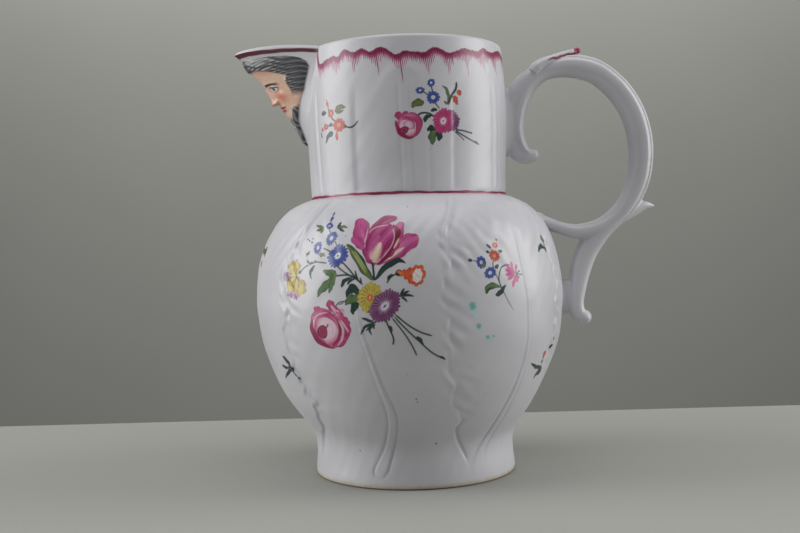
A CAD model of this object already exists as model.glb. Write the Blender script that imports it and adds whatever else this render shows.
import math

import bpy
import numpy as np
from mathutils import Matrix, Vector


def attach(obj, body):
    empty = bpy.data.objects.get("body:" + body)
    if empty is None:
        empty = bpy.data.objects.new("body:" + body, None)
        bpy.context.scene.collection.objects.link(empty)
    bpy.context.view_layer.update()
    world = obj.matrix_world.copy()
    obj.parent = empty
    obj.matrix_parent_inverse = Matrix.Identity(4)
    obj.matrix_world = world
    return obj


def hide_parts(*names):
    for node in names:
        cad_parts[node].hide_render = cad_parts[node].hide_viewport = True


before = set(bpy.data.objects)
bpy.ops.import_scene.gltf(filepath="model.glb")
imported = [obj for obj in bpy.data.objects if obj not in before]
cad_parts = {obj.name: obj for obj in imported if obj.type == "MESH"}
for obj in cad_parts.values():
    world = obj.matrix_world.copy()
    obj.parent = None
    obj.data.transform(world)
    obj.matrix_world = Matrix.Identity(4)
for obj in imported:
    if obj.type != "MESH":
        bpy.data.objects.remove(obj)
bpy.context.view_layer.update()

# The jug's own sizes, in millimetres, as in its solids. +Z is up, the spout points along -X and the handle
# along +X. Azimuths are in degrees from -Y, the side that faces the viewer, and grow towards the handle.
MM = 0.001
RIM_HEIGHT, RIM_RADIUS = 240.0, 54.8
NECK_RADIUS, NECK_SWELL, NECK_WALL = 55.6, 1.9, 4.0
SHOULDER_HEIGHT = 156.0
BELLY_RADIUS, BELLY_HEIGHT, BELLY_WALL = 87.8, 100.0, 4.5
WAIST_RADIUS, WAIST_HEIGHT = 56.0, 21.7
FOOT_RADIUS, BASE_THICKNESS = 57.2, 7.0
SPOUT_REACH, SPOUT_HALF_WIDTH, SPOUT_DEPTH = 43.0, 28.0, 55.0
TROUGH_REACH, TROUGH_HALF_WIDTH, TROUGH_DEPTH = 36.6, 24.0, 26.0
LIP_RISE, LIP_ROUND = 2.2, 1.9


# Formulas

def ease(low, high, x):
    """Rises smoothly from 0 at low to 1 at high; low may be the larger."""
    t = np.clip((x - low) / (high - low), 0.0, 1.0)
    return t * t * (3.0 - 2.0 * t)


def mix(a, b, t):
    """a at t = 0 and b at t = 1, in a straight line."""
    return a + (b - a) * t


def hump(x, width):
    """A bell of height 1 that falls to 1/e at the width."""
    return np.exp(-((x / width) ** 2))


def dome(x):
    """A half circle: 1 at 0, falling to 0 at 1."""
    return np.sqrt(np.clip(1.0 - x * x, 0.0, 1.0))


def unit(vectors):
    """Vectors brought to a length of 1."""
    return vectors / (np.linalg.norm(vectors, axis=-1, keepdims=True) + 1e-12)


def stacked(*parts):
    """Coordinates of matching shapes put together as points."""
    return np.stack(np.broadcast_arrays(*parts), axis=-1)


def lengths(line):
    """The length along a line of points from its start to each of them."""
    return np.concatenate([[0.0], np.cumsum(np.hypot(*np.diff(line, axis=0).T))])


def neighbour_mean(values, count):
    """Each value as the mean of an odd count of neighbours, weighted by a raised cosine."""
    weight = np.hanning(count) / np.hanning(count).sum()
    return np.convolve(np.pad(values, count // 2, mode="edge"), weight, "valid")


def angles(count):
    """Angles once round, in radians."""
    return np.linspace(0, 2 * math.pi, count, endpoint=False)


def bezier(points, t):
    """A cubic Bezier curve through its first and last of four points."""
    a, b, c, d = (np.asarray(p, float) for p in points)
    t = t[:, None]
    return (1 - t) ** 3 * a + 3 * (1 - t) ** 2 * t * b + 3 * (1 - t) * t**2 * c + t**3 * d


def spline(points, t):
    """A Catmull-Rom curve through all points, even in point number, its ends doubled."""
    p = np.asarray(points, float)
    last = len(p) - 1
    at = np.clip(np.asarray(t, float), 0, 1) * last
    i = np.minimum(at.astype(int), last - 1)
    w = (at - i)[..., None]
    p0, p1 = p[np.maximum(i - 1, 0)], p[i]
    p2, p3 = p[i + 1], p[np.minimum(i + 2, last)]
    return 0.5 * (
        2 * p1 + (p2 - p0) * w + (2 * p0 - 5 * p1 + 4 * p2 - p3) * w**2 + (3 * p1 - p0 - 3 * p2 + p3) * w**3
    )


def ripple(x, y, seed):
    """A smooth uneven field between about -1 and 1: a sum of crossed sines whose phases come from the seed."""
    total = 0.0
    for n, rate in enumerate((1.0, 1.7, 2.3, 3.1, 4.3), 1):
        turn = 2.4 * (1.37 * n + seed)
        total = total + np.sin((x * math.cos(turn) + y * math.sin(turn)) * rate + 2.1 * turn)
    return total / 3.0


# Meshes

NO_TRIANGLES = np.zeros((0, 3), int)


def squares(at):
    """The quads of a grid, from the numbers of its points."""
    return np.stack([at[:-1, :-1], at[:-1, 1:], at[1:, 1:], at[1:, :-1]], axis=-1).reshape(-1, 4)


def grid_quads(rings, count, around):
    """Quads between the points of successive closed rings; around also joins the last ring to the first."""
    at = np.arange(rings * count).reshape(rings, count)
    at = np.hstack([at, at[:, :1]])
    return squares(np.vstack([at, at[:1]]) if around else at)


def mesh_of(name, points, quads, triangles=NO_TRIANGLES):
    """A mesh from arrays of points in millimetres, quads and triangles."""
    mesh = bpy.data.meshes.new(name)
    mesh.vertices.add(len(points))
    mesh.vertices.foreach_set("co", (np.asarray(points, float) * MM).ravel())
    corners = np.concatenate([quads.ravel(), triangles.ravel()]).astype(np.int32)
    starts = np.concatenate([np.arange(len(quads)) * 4, len(quads) * 4 + np.arange(len(triangles)) * 3])
    mesh.loops.add(len(corners))
    mesh.loops.foreach_set("vertex_index", corners)
    mesh.polygons.add(len(starts))
    mesh.polygons.foreach_set("loop_start", starts.astype(np.int32))
    mesh.update(calc_edges=True)
    mesh.validate()
    mesh.shade_smooth()
    return mesh


def ring_skin(rings, ends=None):
    """
    The closed surface through successive closed rings (rings x points x 3). With ends, a point closes each
    end as a fan; without, the last ring joins the first. Returns points, quads and triangles facing out.
    """
    n, count = rings.shape[:2]
    points = rings.reshape(-1, 3)
    quads = grid_quads(n, count, ends is None)
    triangles = NO_TRIANGLES
    if ends is not None:
        step = np.arange(count)
        ahead = (step + 1) % count
        first, last = len(points), len(points) + 1
        points = np.vstack([points, ends])
        low = np.stack([np.full(count, first), ahead, step], axis=1)
        high = np.stack([np.full(count, last), (n - 1) * count + step, (n - 1) * count + ahead], axis=1)
        triangles = np.vstack([low, high])
    halves = np.vstack([quads[:, :3], quads[:, [0, 2, 3]], triangles])
    a, b, c = (points[halves[:, i]] for i in range(3))
    if np.einsum("ij,ij->i", a, np.cross(b, c)).sum() < 0:
        quads, triangles = quads[:, ::-1], triangles[:, ::-1]
    return points, quads, triangles


def mid_ends(rings):
    """The middle points of the first and the last ring."""
    return np.stack([rings[0].mean(axis=0), rings[-1].mean(axis=0)])


def hollow_of(mesh, depth):
    """Keeps on each point how deep it lies in the relief, from 0 to 1, for the glaze that pools there."""
    hollow = mesh.attributes.new("hollow", "FLOAT", "POINT")
    hollow.data.foreach_set("value", np.clip(depth, 0, 1).astype(np.float32))


def enamel_of(mesh, colour, cover):
    """Keeps on each point the colour painted there, and as its alpha how far it covers the glaze."""
    rgba = np.concatenate([colour, cover[:, None]], axis=1).astype(np.float32)
    enamel_colour = mesh.color_attributes.new("enamel", "FLOAT_COLOR", "POINT")
    enamel_colour.data.foreach_set("color", rgba.ravel())


def add_piece(name, mesh, material, slot, *nodes):
    """Puts a mesh into the scene as a piece of the jug that stands for some of its solids."""
    piece = bpy.data.objects.new(name, mesh)
    bpy.context.scene.collection.objects.link(piece)
    mesh.materials.append(material)
    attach(piece, "root")
    if nodes:
        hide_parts(*nodes)


def softened(outline):
    """
    An outline with the turn above its foot rounded off: read at even steps of half a millimetre, each point there
    becomes a mean of its neighbours.
    """
    arc = lengths(outline)
    even = np.append(np.arange(0.0, arc[-1], 0.5), arc[-1])
    points = np.stack([np.interp(even, arc, column) for column in outline.T], axis=1)
    mean = np.stack([neighbour_mean(column, 51) for column in points.T], axis=1)
    turn = ease(7.0, 15.0, points[:, 1]) * ease(66.0, 48.0, points[:, 1])
    return mix(points, mean, turn[:, None])


# The body's outline and its moulded leaves

_t = np.linspace(0.0, 1.0, 400)
_lower_rise = BELLY_HEIGHT - WAIST_HEIGHT
_upper_rise = SHOULDER_HEIGHT - BELLY_HEIGHT
BELLY_OUTLINE = softened(np.vstack([
    bezier([(FOOT_RADIUS - 1.0, 0.0), (FOOT_RADIUS - 0.2, 0.0), (FOOT_RADIUS, 0.6), (FOOT_RADIUS, 1.6)], _t[::40]),
    bezier([
        (FOOT_RADIUS, 2.0), (FOOT_RADIUS, 6.0), (WAIST_RADIUS, 13.0), (WAIST_RADIUS, WAIST_HEIGHT),
    ], _t[::20])[:-1],
    bezier([
        (WAIST_RADIUS, WAIST_HEIGHT),
        (WAIST_RADIUS, WAIST_HEIGHT + 0.055 * _lower_rise),
        (BELLY_RADIUS, BELLY_HEIGHT - 0.61 * _lower_rise),
        (BELLY_RADIUS, BELLY_HEIGHT),
    ], _t)[:-1],
    bezier([
        (BELLY_RADIUS, BELLY_HEIGHT),
        (BELLY_RADIUS, BELLY_HEIGHT + 0.25 * _upper_rise),
        (mix(NECK_RADIUS, BELLY_RADIUS, 0.9), SHOULDER_HEIGHT - 0.15 * _upper_rise),
        (NECK_RADIUS, SHOULDER_HEIGHT),
    ], _t),
]))
BELLY_ARC = lengths(BELLY_OUTLINE)
BELLY_LENGTH = BELLY_ARC[-1]
_slope = unit(np.gradient(BELLY_OUTLINE, axis=0))
BELLY_NORMAL = np.stack([_slope[:, 1], -_slope[:, 0]], axis=1)


def belly_place(arc):
    """Radius, height and outward normal of the plain belly at a length along its outline from the foot."""
    return [np.interp(arc, BELLY_ARC, column) for column in (*BELLY_OUTLINE.T, *BELLY_NORMAL.T)]


def arc_at(height):
    """The length along the belly's outline at a height."""
    return np.interp(height, BELLY_OUTLINE[:, 1], BELLY_ARC)


# Six leaves stand round the belly. Each midrib and each free edge has its own course, in degrees from the middle of
# its leaf's share of the turn at some heights. A free edge runs down beside the next midrib.
LEAVES = 6
LEAF_PITCH = 360.0 / LEAVES
FIRST_MIDRIB = -17.0


def drawn(soft, *lines):
    """Courses up the belly as a table of even heights, with their corners softened over a count of its steps."""
    even = np.linspace(0, SHOULDER_HEIGHT, 209)
    return np.array([neighbour_mean(np.interp(even, heights, degrees), soft) for heights, degrees in lines])


def leaf_line(table, leaf, height):
    """Each leaf's own line, in degrees, at heights."""
    at = np.clip(height / SHOULDER_HEIGHT, 0, 1) * (table.shape[1] - 1)
    low = np.minimum(at.astype(int), table.shape[1] - 2)
    return mix(table[leaf % LEAVES, low], table[leaf % LEAVES, low + 1], at - low)


RIB_HEIGHTS = (8, 16, 25, 37, 51, 70, 90, 111, 133)
MIDRIB = drawn(
    21,
    ((8, 13, 18, 24, 33, 42, 49, 59, 70, 80, 90, 111, 133),
     (-3.5, -1.5, 0.8, 3.1, 6.1, 7.2, 6.0, 4.0, 2.3, 0.6, -1, -2.6, -2.8)),
    ((8, 15, 20, 26, 40, 54, 66, 77, 89, 100, 111, 122, 135),
     (-9.5, -6.6, -3.6, -1.4, -0.5, 0.4, 1.1, 0.8, -0.1, -0.7, -1.8, -2.5, -1.5)),
    (RIB_HEIGHTS, (4.0, 4.2, 3.0, 0.5, -2.0, -2.4, -0.8, 0.4, 0.0)),
    (RIB_HEIGHTS, (-7.0, -6.4, -4.0, -1.0, 1.0, 1.8, 0.4, -1.2, 0.0)),
    (RIB_HEIGHTS, (-1.0, -1.6, 1.8, 3.6, 3.2, 1.4, -0.2, -0.8, 0.4)),
    (RIB_HEIGHTS, (-6.0, -5.0, -3.0, -1.0, 0.6, 1.0, 0.0, -1.0, 0.0)),
)
EDGE_HEIGHTS = (8, 15, 29, 42, 46, 58, 70, 81, 107, 128, 140, 152)
FREE_EDGE = drawn(
    13,
    ((8, 16, 31, 38, 48, 57, 69, 76, 92, 102, 110, 121, 131, 138, 148, 153),
     (47, 44.3, 35.7, 37.4, 31.2, 32.0, 27.2, 30.0, 28.2, 26.0, 27.4, 29.8, 27.8, 29.8, 34.3, 36)),
    ((8, 15, 29, 42, 56, 65, 75, 82, 89, 96, 102, 106, 117, 130, 140, 152),
     (38, 36.5, 31, 27, 23.9, 20.6, 19.4, 18.8, 20.6, 17.8, 21.6, 21.4, 19.4, 19.6, 22, 27)),
    (EDGE_HEIGHTS, (43.0, 41.0, 35.6, 32.4, 31.6, 30.2, 28.0, 27.0, 26.6, 28.0, 31.0, 34.8)),
    (EDGE_HEIGHTS, (35.0, 34.0, 31.0, 29.4, 29.2, 28.6, 27.6, 26.8, 27.6, 29.6, 32.0, 35.0)),
    (EDGE_HEIGHTS, (41.0, 39.0, 34.4, 31.8, 31.2, 30.4, 28.4, 27.4, 26.8, 28.4, 31.6, 35.2)),
    ((8, 14, 21, 29, 35, 40, 46, 52, 58, 67, 75, 85, 94, 102, 120, 129, 138, 148, 154),
     (8, 8, 11, 21, 26.4, 24.2, 30.2, 27.2, 28.4, 25.6, 25.1, 24.7, 28.5, 25.9, 27.4, 28.2, 32.8, 34.1, 34)),
)
RIB_HALF_WIDTH = (8, 13, 18, 24, 42, 49, 59, 70, 80, 125), (4.2, 4.0, 3.2, 2.7, 2.4, 2.1, 1.5, 1.2, 0.95, 0.85)
RIB_TOP = np.array([106.0, 150.0, 126.0, 146.0, 104.0, 138.0])
RIB_END = np.array([10.5, 11.0, 12.0, 12.0, 10.0, 13.0])
# How strongly each free edge wanders, and how firm its step is, low on the belly and high up.
EDGE_WAVE = np.array([[0.5, 0.5], [0.6, 0.6], [1.4, 1.0], [1.2, 1.2], [1.4, 1.0], [1.5, 0.5]])
EDGE_FIRM = np.array([[0.6, 0.5], [0.9, 1.6], [0.8, 0.8], [0.7, 1.0], [0.8, 0.8], [1.1, 0.8]])
EDGE_GROOVE = np.array([2.2, 0.5, 1.2, 0.6, 1.5, 0.5])


def edge_share(table, k, height):
    """Each free edge's own strength at heights."""
    return mix(table[k % LEAVES, 0], table[k % LEAVES, 1], ease(56.0, 84.0, height))


def wrapped(az):
    """An azimuth within half a turn, and how strong uneven fields are there: they die away where the turn closes."""
    az = (az + 180.0) % 360.0 - 180.0
    return az, ease(180.0, 150.0, np.abs(az))


def lapped_step(d, blur, fall, above, below):
    """
    One edge lapped over another, by the distance d past the edge: it stands above before the edge and lies below
    after it, falling back to 0 away from it, with the step itself softened by the glaze.
    """
    return mix(above, -below, ease(-blur, blur, d)) * np.exp(-np.abs(d) / fall)


def belly_relief(az, height, radius):
    """
    How far the moulded leaves stand out, in millimetres, and how hollow each place is. Each leaf is a shallow
    dome between its two edges, with a low midrib that widens to a round-ended stalk at the foot, veins that climb
    away from it at the shoulder, a free edge that laps over the next leaf and rolls into a stem at the top, and
    uneven folds that slant down from that edge.
    """
    az, calm = wrapped(az)
    turn = (az - FIRST_MIDRIB + LEAF_PITCH / 2) % 360.0
    leaf = (turn // LEAF_PITCH).astype(int) % LEAVES
    height = height + 0 * az

    def edge(k):
        wander = 0.8 * np.sin(height / 1.3 + 1.9 * k + 1.5 * np.sin(height / 7 + k))
        wander = (wander + 0.7 * np.sin(height / 4.7 + 2.3 * k)) * edge_share(EDGE_WAVE, k, height)
        return leaf_line(FREE_EDGE, k, height) + wander * ease(20.0, 36.0, height) * ease(146.0, 130.0, height)

    local = turn - LEAF_PITCH / 2 - leaf * LEAF_PITCH
    past = local > edge(leaf)
    before = local < edge(leaf - 1) - LEAF_PITCH
    leaf = leaf + past.astype(int) - before.astype(int)
    local = local - LEAF_PITCH * past + LEAF_PITCH * before
    per_degree = radius * math.pi / 180.0
    right, left = edge(leaf), edge(leaf - 1) - LEAF_PITCH
    rib = leaf_line(MIDRIB, leaf, height)
    across = np.where(local > rib, (local - rib) / (right - rib), (local - rib) / (rib - left))
    away = (local - rib) * per_degree
    swell = 0.8 * (1.0 - across**2) - 0.2

    width = np.interp(height, *RIB_HALF_WIDTH)
    top, end = RIB_TOP[leaf % LEAVES], RIB_END[leaf % LEAVES]
    off = np.hypot(away, np.clip(end - height, 0, None))
    rib_fade = ease(top, top - 24.0, height) * np.where(leaf % 2, ease(end - 2.0, end + 9.0, height), 1.0)
    low = ease(74.0, 36.0, height)
    bead = mix(0.34, 0.2, low) * ease(1.1, 0.5, off / width) * rib_fade
    furrow = mix(0.6, 1.3, low) * hump(off - width, 0.55) * rib_fade

    climb = height - 0.85 * np.abs(away) - 0.012 * away**2 + 3.0 * calm * ripple(az / 9.0, height / 16.0, 0.8)
    vein = np.sin(climb * 2 * math.pi / 12.0 + 2.3 * leaf)
    veins = 0.1 * vein * ease(104.0, 126.0, height) * ease(0.06, 0.25, np.abs(across))

    from_right = (right - local) * per_degree
    from_left = (local - left) * per_degree
    step = np.where(from_left < from_right, from_left, -from_right)
    owner = leaf - (step > 0)
    firm = edge_share(EDGE_FIRM, owner, height)
    groove = hump(step - 0.3, 0.6) * ease(13.0, 17.0, height) * ease(44.0, 26.0, height) * EDGE_GROOVE[owner % LEAVES]
    lap = lapped_step(step, 1.2, 3.4, 0.45, 0.4) * firm
    under = ease(-0.6, 0.8, step) * hump(step - 0.6, 1.3) * firm
    beaded = np.clip(firm - 0.75, 0, 1) * ease(24.0, 34.0, height) * ease(140.0, 126.0, height)
    rim = beaded * hump(step + 1.1, 1.0) * (0.6 + 0.4 * np.sin(height / 1.3 + 1.2 * np.sin(height / 5.0)))
    crease = beaded * hump(step + 3.1, 0.8)
    roll = ease(120.0, 136.0, height)
    stem = 0.32 * dome(np.clip(step / 1.9, -1, 1)) * roll
    gutter = hump(np.abs(step) - 2.2, 0.7) * roll

    slant = height + mix(0.6, 1.0, ease(88.0, 126.0, height)) * step
    fold = np.sin(slant * 2 * math.pi / 9.6 + 1.9 * leaf + 1.5 * ripple(height / 13.0, step / 16.0 + 3.1 * leaf, 0.9))
    strength = np.clip(0.5 + 0.7 * ripple(height / 10.0 + 5.0 * leaf, step / 8.0, 3.3), 0.1, 1.0)
    near = np.where(step > 0, ease(17.0, 3.0, step), ease(-6.0, -1.0, step))
    near = near * strength * ease(30.0, 56.0, height) * ease(148.0, 124.0, height)
    ruffles = 0.36 * fold * near

    fan = np.sin(local * 0.75 + 0.06 * height + 1.4 * calm * ripple(az / 14.0, height / 12.0, 2.0))
    fans = 0.07 * fan * ease(124.0, 142.0, height)
    turned_by = np.radians(az)
    uneven = 0.24 * ripple(turned_by * 4.0, height / 17.0, 0.3) + 0.08 * ripple(turned_by * 13.0, height / 5.5, 2.1)
    uneven = calm * uneven - 1.7 * hump(az - 84.0, 17.0) * ease(30.0, 62.0, height) * ease(150.0, 122.0, height)
    ends = ease(2.0, 9.0, height) * ease(155.8, 149.0, height)
    lapped = ease(4.0, 22.0, height)
    relief = swell * ease(6.0, 30.0, height) + bead - 0.32 * furrow + veins + lap * lapped + stem - 0.26 * gutter
    relief = relief + ruffles + fans + uneven - 0.3 * groove + 0.8 * rim - 0.3 * crease
    hollow = 0.55 * furrow + 0.7 * under * lapped + 0.6 * groove + 0.45 * gutter + 0.6 * crease
    hollow = hollow + 0.18 * np.clip(-fold, 0, 1) * near
    return relief * ends, hollow * ends


def round_point(az, radius, height):
    """Points at azimuths in degrees, radii and heights."""
    turn = np.radians(az)
    return stacked(radius * np.sin(turn), -radius * np.cos(turn), height)


def belly_point(az, arc, lift=0.0):
    """Points of the moulded belly at an azimuth and a length along its outline, lifted off its skin."""
    radius, height, out, up = belly_place(arc)
    swell = belly_relief(az, height, radius)[0] + lift
    return round_point(az, radius + out * swell, height + up * swell)


# Six broad leaves line the neck: the azimuth of the first midrib, and how far past its midrib each free edge lies.
NECK_MIDRIB = -2.5
NECK_EDGE = 27.0


def neck_radius(height):
    """The plain neck's radius: a straight taper with a swelling above its middle."""
    share = np.clip((height - SHOULDER_HEIGHT) / (RIM_HEIGHT - SHOULDER_HEIGHT), 0, 1)
    return mix(NECK_RADIUS, RIM_RADIUS, share) + NECK_SWELL * np.sin(math.pi * share**1.3)


def neck_relief(az, height):
    """
    How far the neck's leaves stand out, in millimetres, and how hollow each place is: a flat arch between two
    lapped edges, a flat midrib with a round top, and a soft pointed tip below the rim.
    """
    az, calm = wrapped(az)
    az = az - 4.7 * hump(az + 31.0, 22.0)
    local = (az - NECK_MIDRIB - NECK_EDGE) % LEAF_PITCH - (LEAF_PITCH - NECK_EDGE)
    clear = mix(1.0, 0.45, hump(az - NECK_MIDRIB, 20.0))
    across = np.where(local > 0, local / NECK_EDGE, local / (LEAF_PITCH - NECK_EDGE))
    away = local + 0.03 * (height - 190.0)
    arch = 0.7 * (1.0 - across**2) - 0.3
    rib_top = ease(219.0, 210.0, height + 0.8 * np.abs(away))
    rib = 0.3 * clear * ease(3.0, 1.0, np.abs(away)) * rib_top
    groove = clear * hump(np.abs(away) - 3.0, 1.0) * rib_top
    side = np.abs(local - 13.5 + 0.02 * (height - 190.0))
    crease = hump(side, 1.3) * ease(205.0, 190.0, height)
    right, left = NECK_EDGE - local, local + LEAF_PITCH - NECK_EDGE
    step = np.where(left < right, left, -right)
    lap = lapped_step(step, 2.2, 5.0, 0.34, 0.24)
    under = ease(-1.0, 1.2, step) * hump(step - 0.8, 2.2)
    tip = 224.0 - 15.0 * np.abs(across) ** 1.2
    below = ease(7.0, -6.0, height - tip)
    point = 0.22 * hump(height - tip + 1.0, 2.4) * ease(0.5, 0.12, np.abs(across))
    turned_by = np.radians(az)
    uneven = 0.2 * ripple(turned_by * 3.0, height / 15.0, 1.9) + 0.06 * ripple(turned_by * 11.0, height / 6.0, 0.7)
    ends = ease(156.0, 159.5, height) * ease(238.0, 232.0, height)
    relief = (arch + rib + lap - 0.3 * groove - 0.12 * crease) * below + point + calm * uneven
    hollow = (0.35 * groove + 0.15 * crease + 0.4 * under) * below
    return relief * ends, hollow * ends


def neck_point(az, height, lift=0.0):
    """Points of the panelled neck at an azimuth and a height, lifted off its skin."""
    return round_point(az, neck_radius(height) + neck_relief(az, height)[0] + lift, height)


# How many points go round each skin, and how many rings up its outside.
BELLY_COLUMNS, BELLY_ROWS = 600, 132
NECK_COLUMNS, NECK_ROWS = 560, 110


def belly_rings():
    """
    The belly's closed skin as rings, with its hollows: under the foot, up the moulded outside, down the plain
    inside.
    """
    az = np.linspace(-180, 180, BELLY_COLUMNS, endpoint=False)[None, :]
    arc = np.concatenate([np.linspace(0, 3.2, 5), np.linspace(4.0, BELLY_LENGTH, BELLY_ROWS)])[:, None]
    outside = belly_point(az, arc)
    radius, height = belly_place(arc)[:2]
    depth = belly_relief(az, height, radius)[1]
    inner = np.linspace(BELLY_LENGTH - 7.0, arc_at(WAIST_HEIGHT), 16)
    radius, height, out, up = belly_place(inner)
    inside = [(NECK_RADIUS - NECK_WALL, SHOULDER_HEIGHT), (NECK_RADIUS - NECK_WALL, SHOULDER_HEIGHT - BELLY_WALL)]
    inside += list(zip(radius - out * BELLY_WALL, height - up * BELLY_WALL))
    inside += [(47.0, 12.0), (42.0, BASE_THICKNESS + 0.6), (30.0, BASE_THICKNESS), (8.0, BASE_THICKNESS)]
    inside = np.array(inside)
    hollow = round_point(az, inside[:, :1], inside[:, 1:])
    under = round_point(az, np.array([[8.0], [30.0], [50.0]]), np.zeros((3, 1)))
    rings = np.concatenate([under, outside, hollow])
    depth = np.concatenate([np.zeros(under.shape[:2]), depth, np.zeros(hollow.shape[:2])])
    return rings, np.append(depth.ravel(), [0.0, 0.0])


def neck_rings():
    """
    The neck's closed skin as rings, with its hollows: up the panelled outside, over the round rim, down the
    inside. Behind the spout its top dips in a parabola to the floor of the trough.
    """
    az = np.linspace(-180, 180, NECK_COLUMNS, endpoint=False)[None, :]
    from_spout = (az + 90.0 + 180.0) % 360.0 - 180.0
    y = neck_radius(228.0) * np.sin(np.radians(from_spout))
    dip = np.where(np.abs(from_spout) < 60, np.clip(1 - (y / (TROUGH_HALF_WIDTH - 0.8)) ** 2, 0, 1), 0) ** 1.3
    top = RIM_HEIGHT - LIP_ROUND - (TROUGH_DEPTH - 1.5) * dip
    rise = np.linspace(0, 1, NECK_ROWS)[:, None]
    height = mix(SHOULDER_HEIGHT - 0.4, top, rise)
    outside = neck_point(az, height)
    depth = neck_relief(az, height)[1]
    bend = np.linspace(0, math.pi, 12)[1:-1, None]
    middle = neck_radius(top) - LIP_ROUND
    rim = round_point(az, middle + LIP_ROUND * np.cos(bend), top + LIP_ROUND * np.sin(bend))
    fall = np.linspace(0, 1, 26)[:, None]
    down = mix(top, SHOULDER_HEIGHT - 5.0, fall)
    inside = round_point(az, neck_radius(down) - 2 * LIP_ROUND - 0.2 * fall, down)
    depth = np.concatenate([depth, np.zeros(rim.shape[:2]), np.zeros(inside.shape[:2])])
    return np.concatenate([outside, rim, inside]), depth.ravel()


# The spout, whose root ends inside the neck's wall
ROOT_DEPTH = 3.0


def beak_plan(across):
    """How far the spout stands off the neck across its width: 1 at the nose, flaring out to 0 at its root."""
    return (1.0 - np.abs(across) ** 1.45).clip(0, 1) ** 1.12


def beak_width(up, half_width):
    """Half the beak's width: it grows with the root of up."""
    return half_width * np.sqrt(mix(0.06, 1.0, up))


def beak_point(across, up, reach, half_width, depth):
    """
    A point of a beak: across from -1 to 1 and up from its foot at 0 to the lip at 1. It leaves the neck's
    wall by its reach times up to the power 1.6 times its plan, and its lip rises towards the nose.
    """
    y = across * beak_width(up, half_width)
    height = RIM_HEIGHT - LIP_ROUND - (depth - LIP_ROUND) * (1 - up)
    out = beak_plan(across)
    wall = np.sqrt(neck_radius(height) ** 2 - y**2)
    share = out * up
    lift = LIP_RISE * 4.0 * share * (1 - 0.75 * share) * up
    return stacked(-(wall + reach * up**1.6 * out), y, height + lift)


def spout_point(across, up):
    """A point of the spout's outside."""
    return beak_point(across, up, SPOUT_REACH, SPOUT_HALF_WIDTH, SPOUT_DEPTH)


def off_spout(across, up, lift):
    """A point of the spout's outside moved along its normal, which comes from small steps across and up."""
    step = 1e-3
    along = spout_point(across + step, up) - spout_point(across - step, up)
    rise = spout_point(across, np.minimum(up + step, 1)) - spout_point(across, np.maximum(up - step, 0))
    normal = unit(np.cross(rise, along))
    normal *= np.where(normal[..., :1] > 0, -1.0, 1.0)
    return spout_point(across, up) + normal * np.asarray(lift)[..., None]


def spout_rings():
    """
    The spout's closed skin as one section for each place across: up the outside, over the round lip, down
    the trough, and back to the start inside the neck's wall.
    """
    across = np.sin(np.linspace(-1, 1, 161) * math.pi / 2)[:, None]
    up = np.linspace(0, 1, 80)[None, :]
    outside = spout_point(across, up)
    trough = beak_point(across, up[:, ::-2], TROUGH_REACH, TROUGH_HALF_WIDTH, TROUGH_DEPTH)
    lip, brim = outside[:, -1:], trough[:, :1]
    bend = np.linspace(0, math.pi, 12)[None, 1:-1, None]
    half = (lip - brim) / 2
    over = (lip + brim) / 2 + half * np.cos(bend) + np.array([0, 0, LIP_ROUND]) * np.sin(bend)
    floor, root = trough[:, -1:], outside[:, :1]
    inward = np.array([ROOT_DEPTH, 0, 0])
    back = np.concatenate([floor + inward, mix(floor, root, 0.5) + inward, root + inward], axis=1)
    return np.concatenate([outside, over, trough, back], axis=1)


# The bearded mask under the spout. Its face is set out on plain thirds: from the hairline to the brow, to the
# base of the nose, to the chin, with the eyes and the mouth at their usual shares between.
FACE_CHIN, FACE_HAIRLINE, FACE_HALF_WIDTH = 0.35, 0.84, 14.0
MASK_FOOT, MASK_TOP = 0.03, 0.935
MASK_BORDER, MASK_BACK = -0.25, -0.5
BROW, EYES, MOUTH, EYE_SIDE = 0.667, 0.585, 0.215, 0.42


def mask_half_width(up):
    """Half the mask's width in millimetres: wide at the hair, narrowing from the jaw to the beard's point."""
    return np.interp(
        up, [0.03, 0.06, 0.2, 0.29, 0.36, 0.48, 0.6, 0.75, 0.83, 0.88, 0.91, 0.935],
        [0.5, 1.2, 3.6, 5.6, 9.6, 14.6, 19.0, 22.4, 23.9, 23.6, 22.2, 19.0],
    )


def face_place(across, up):
    """Where a point of the mask lies in the face: sideways in half widths, up from chin 0 to hairline 1."""
    q = across * beak_width(up, SPOUT_HALF_WIDTH) / FACE_HALF_WIDTH
    return q, (up - FACE_CHIN) / (FACE_HAIRLINE - FACE_CHIN)


def hair_share(q, p):
    """1 in the hair, 0 in the face: a band over the forehead that runs down behind the temples."""
    side = np.abs(q)
    over = ease(0.95, 1.0, p + 0.22 * np.clip(side - 0.3, 0, 1) ** 1.5)
    lock = ease(0.90, 0.98, side - 0.34 * np.clip(p - 0.5, 0, 1) + 0.03 * np.sin(p * 21)) * ease(0.38, 0.54, p)
    return np.maximum(over, lock)


def beard_share(q, p):
    """1 in the beard: below the chin, with its upper edge running up along the jaw."""
    return ease(0.05, -0.05, p - 0.2 * ease(0.3, 0.75, np.abs(q)))


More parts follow.
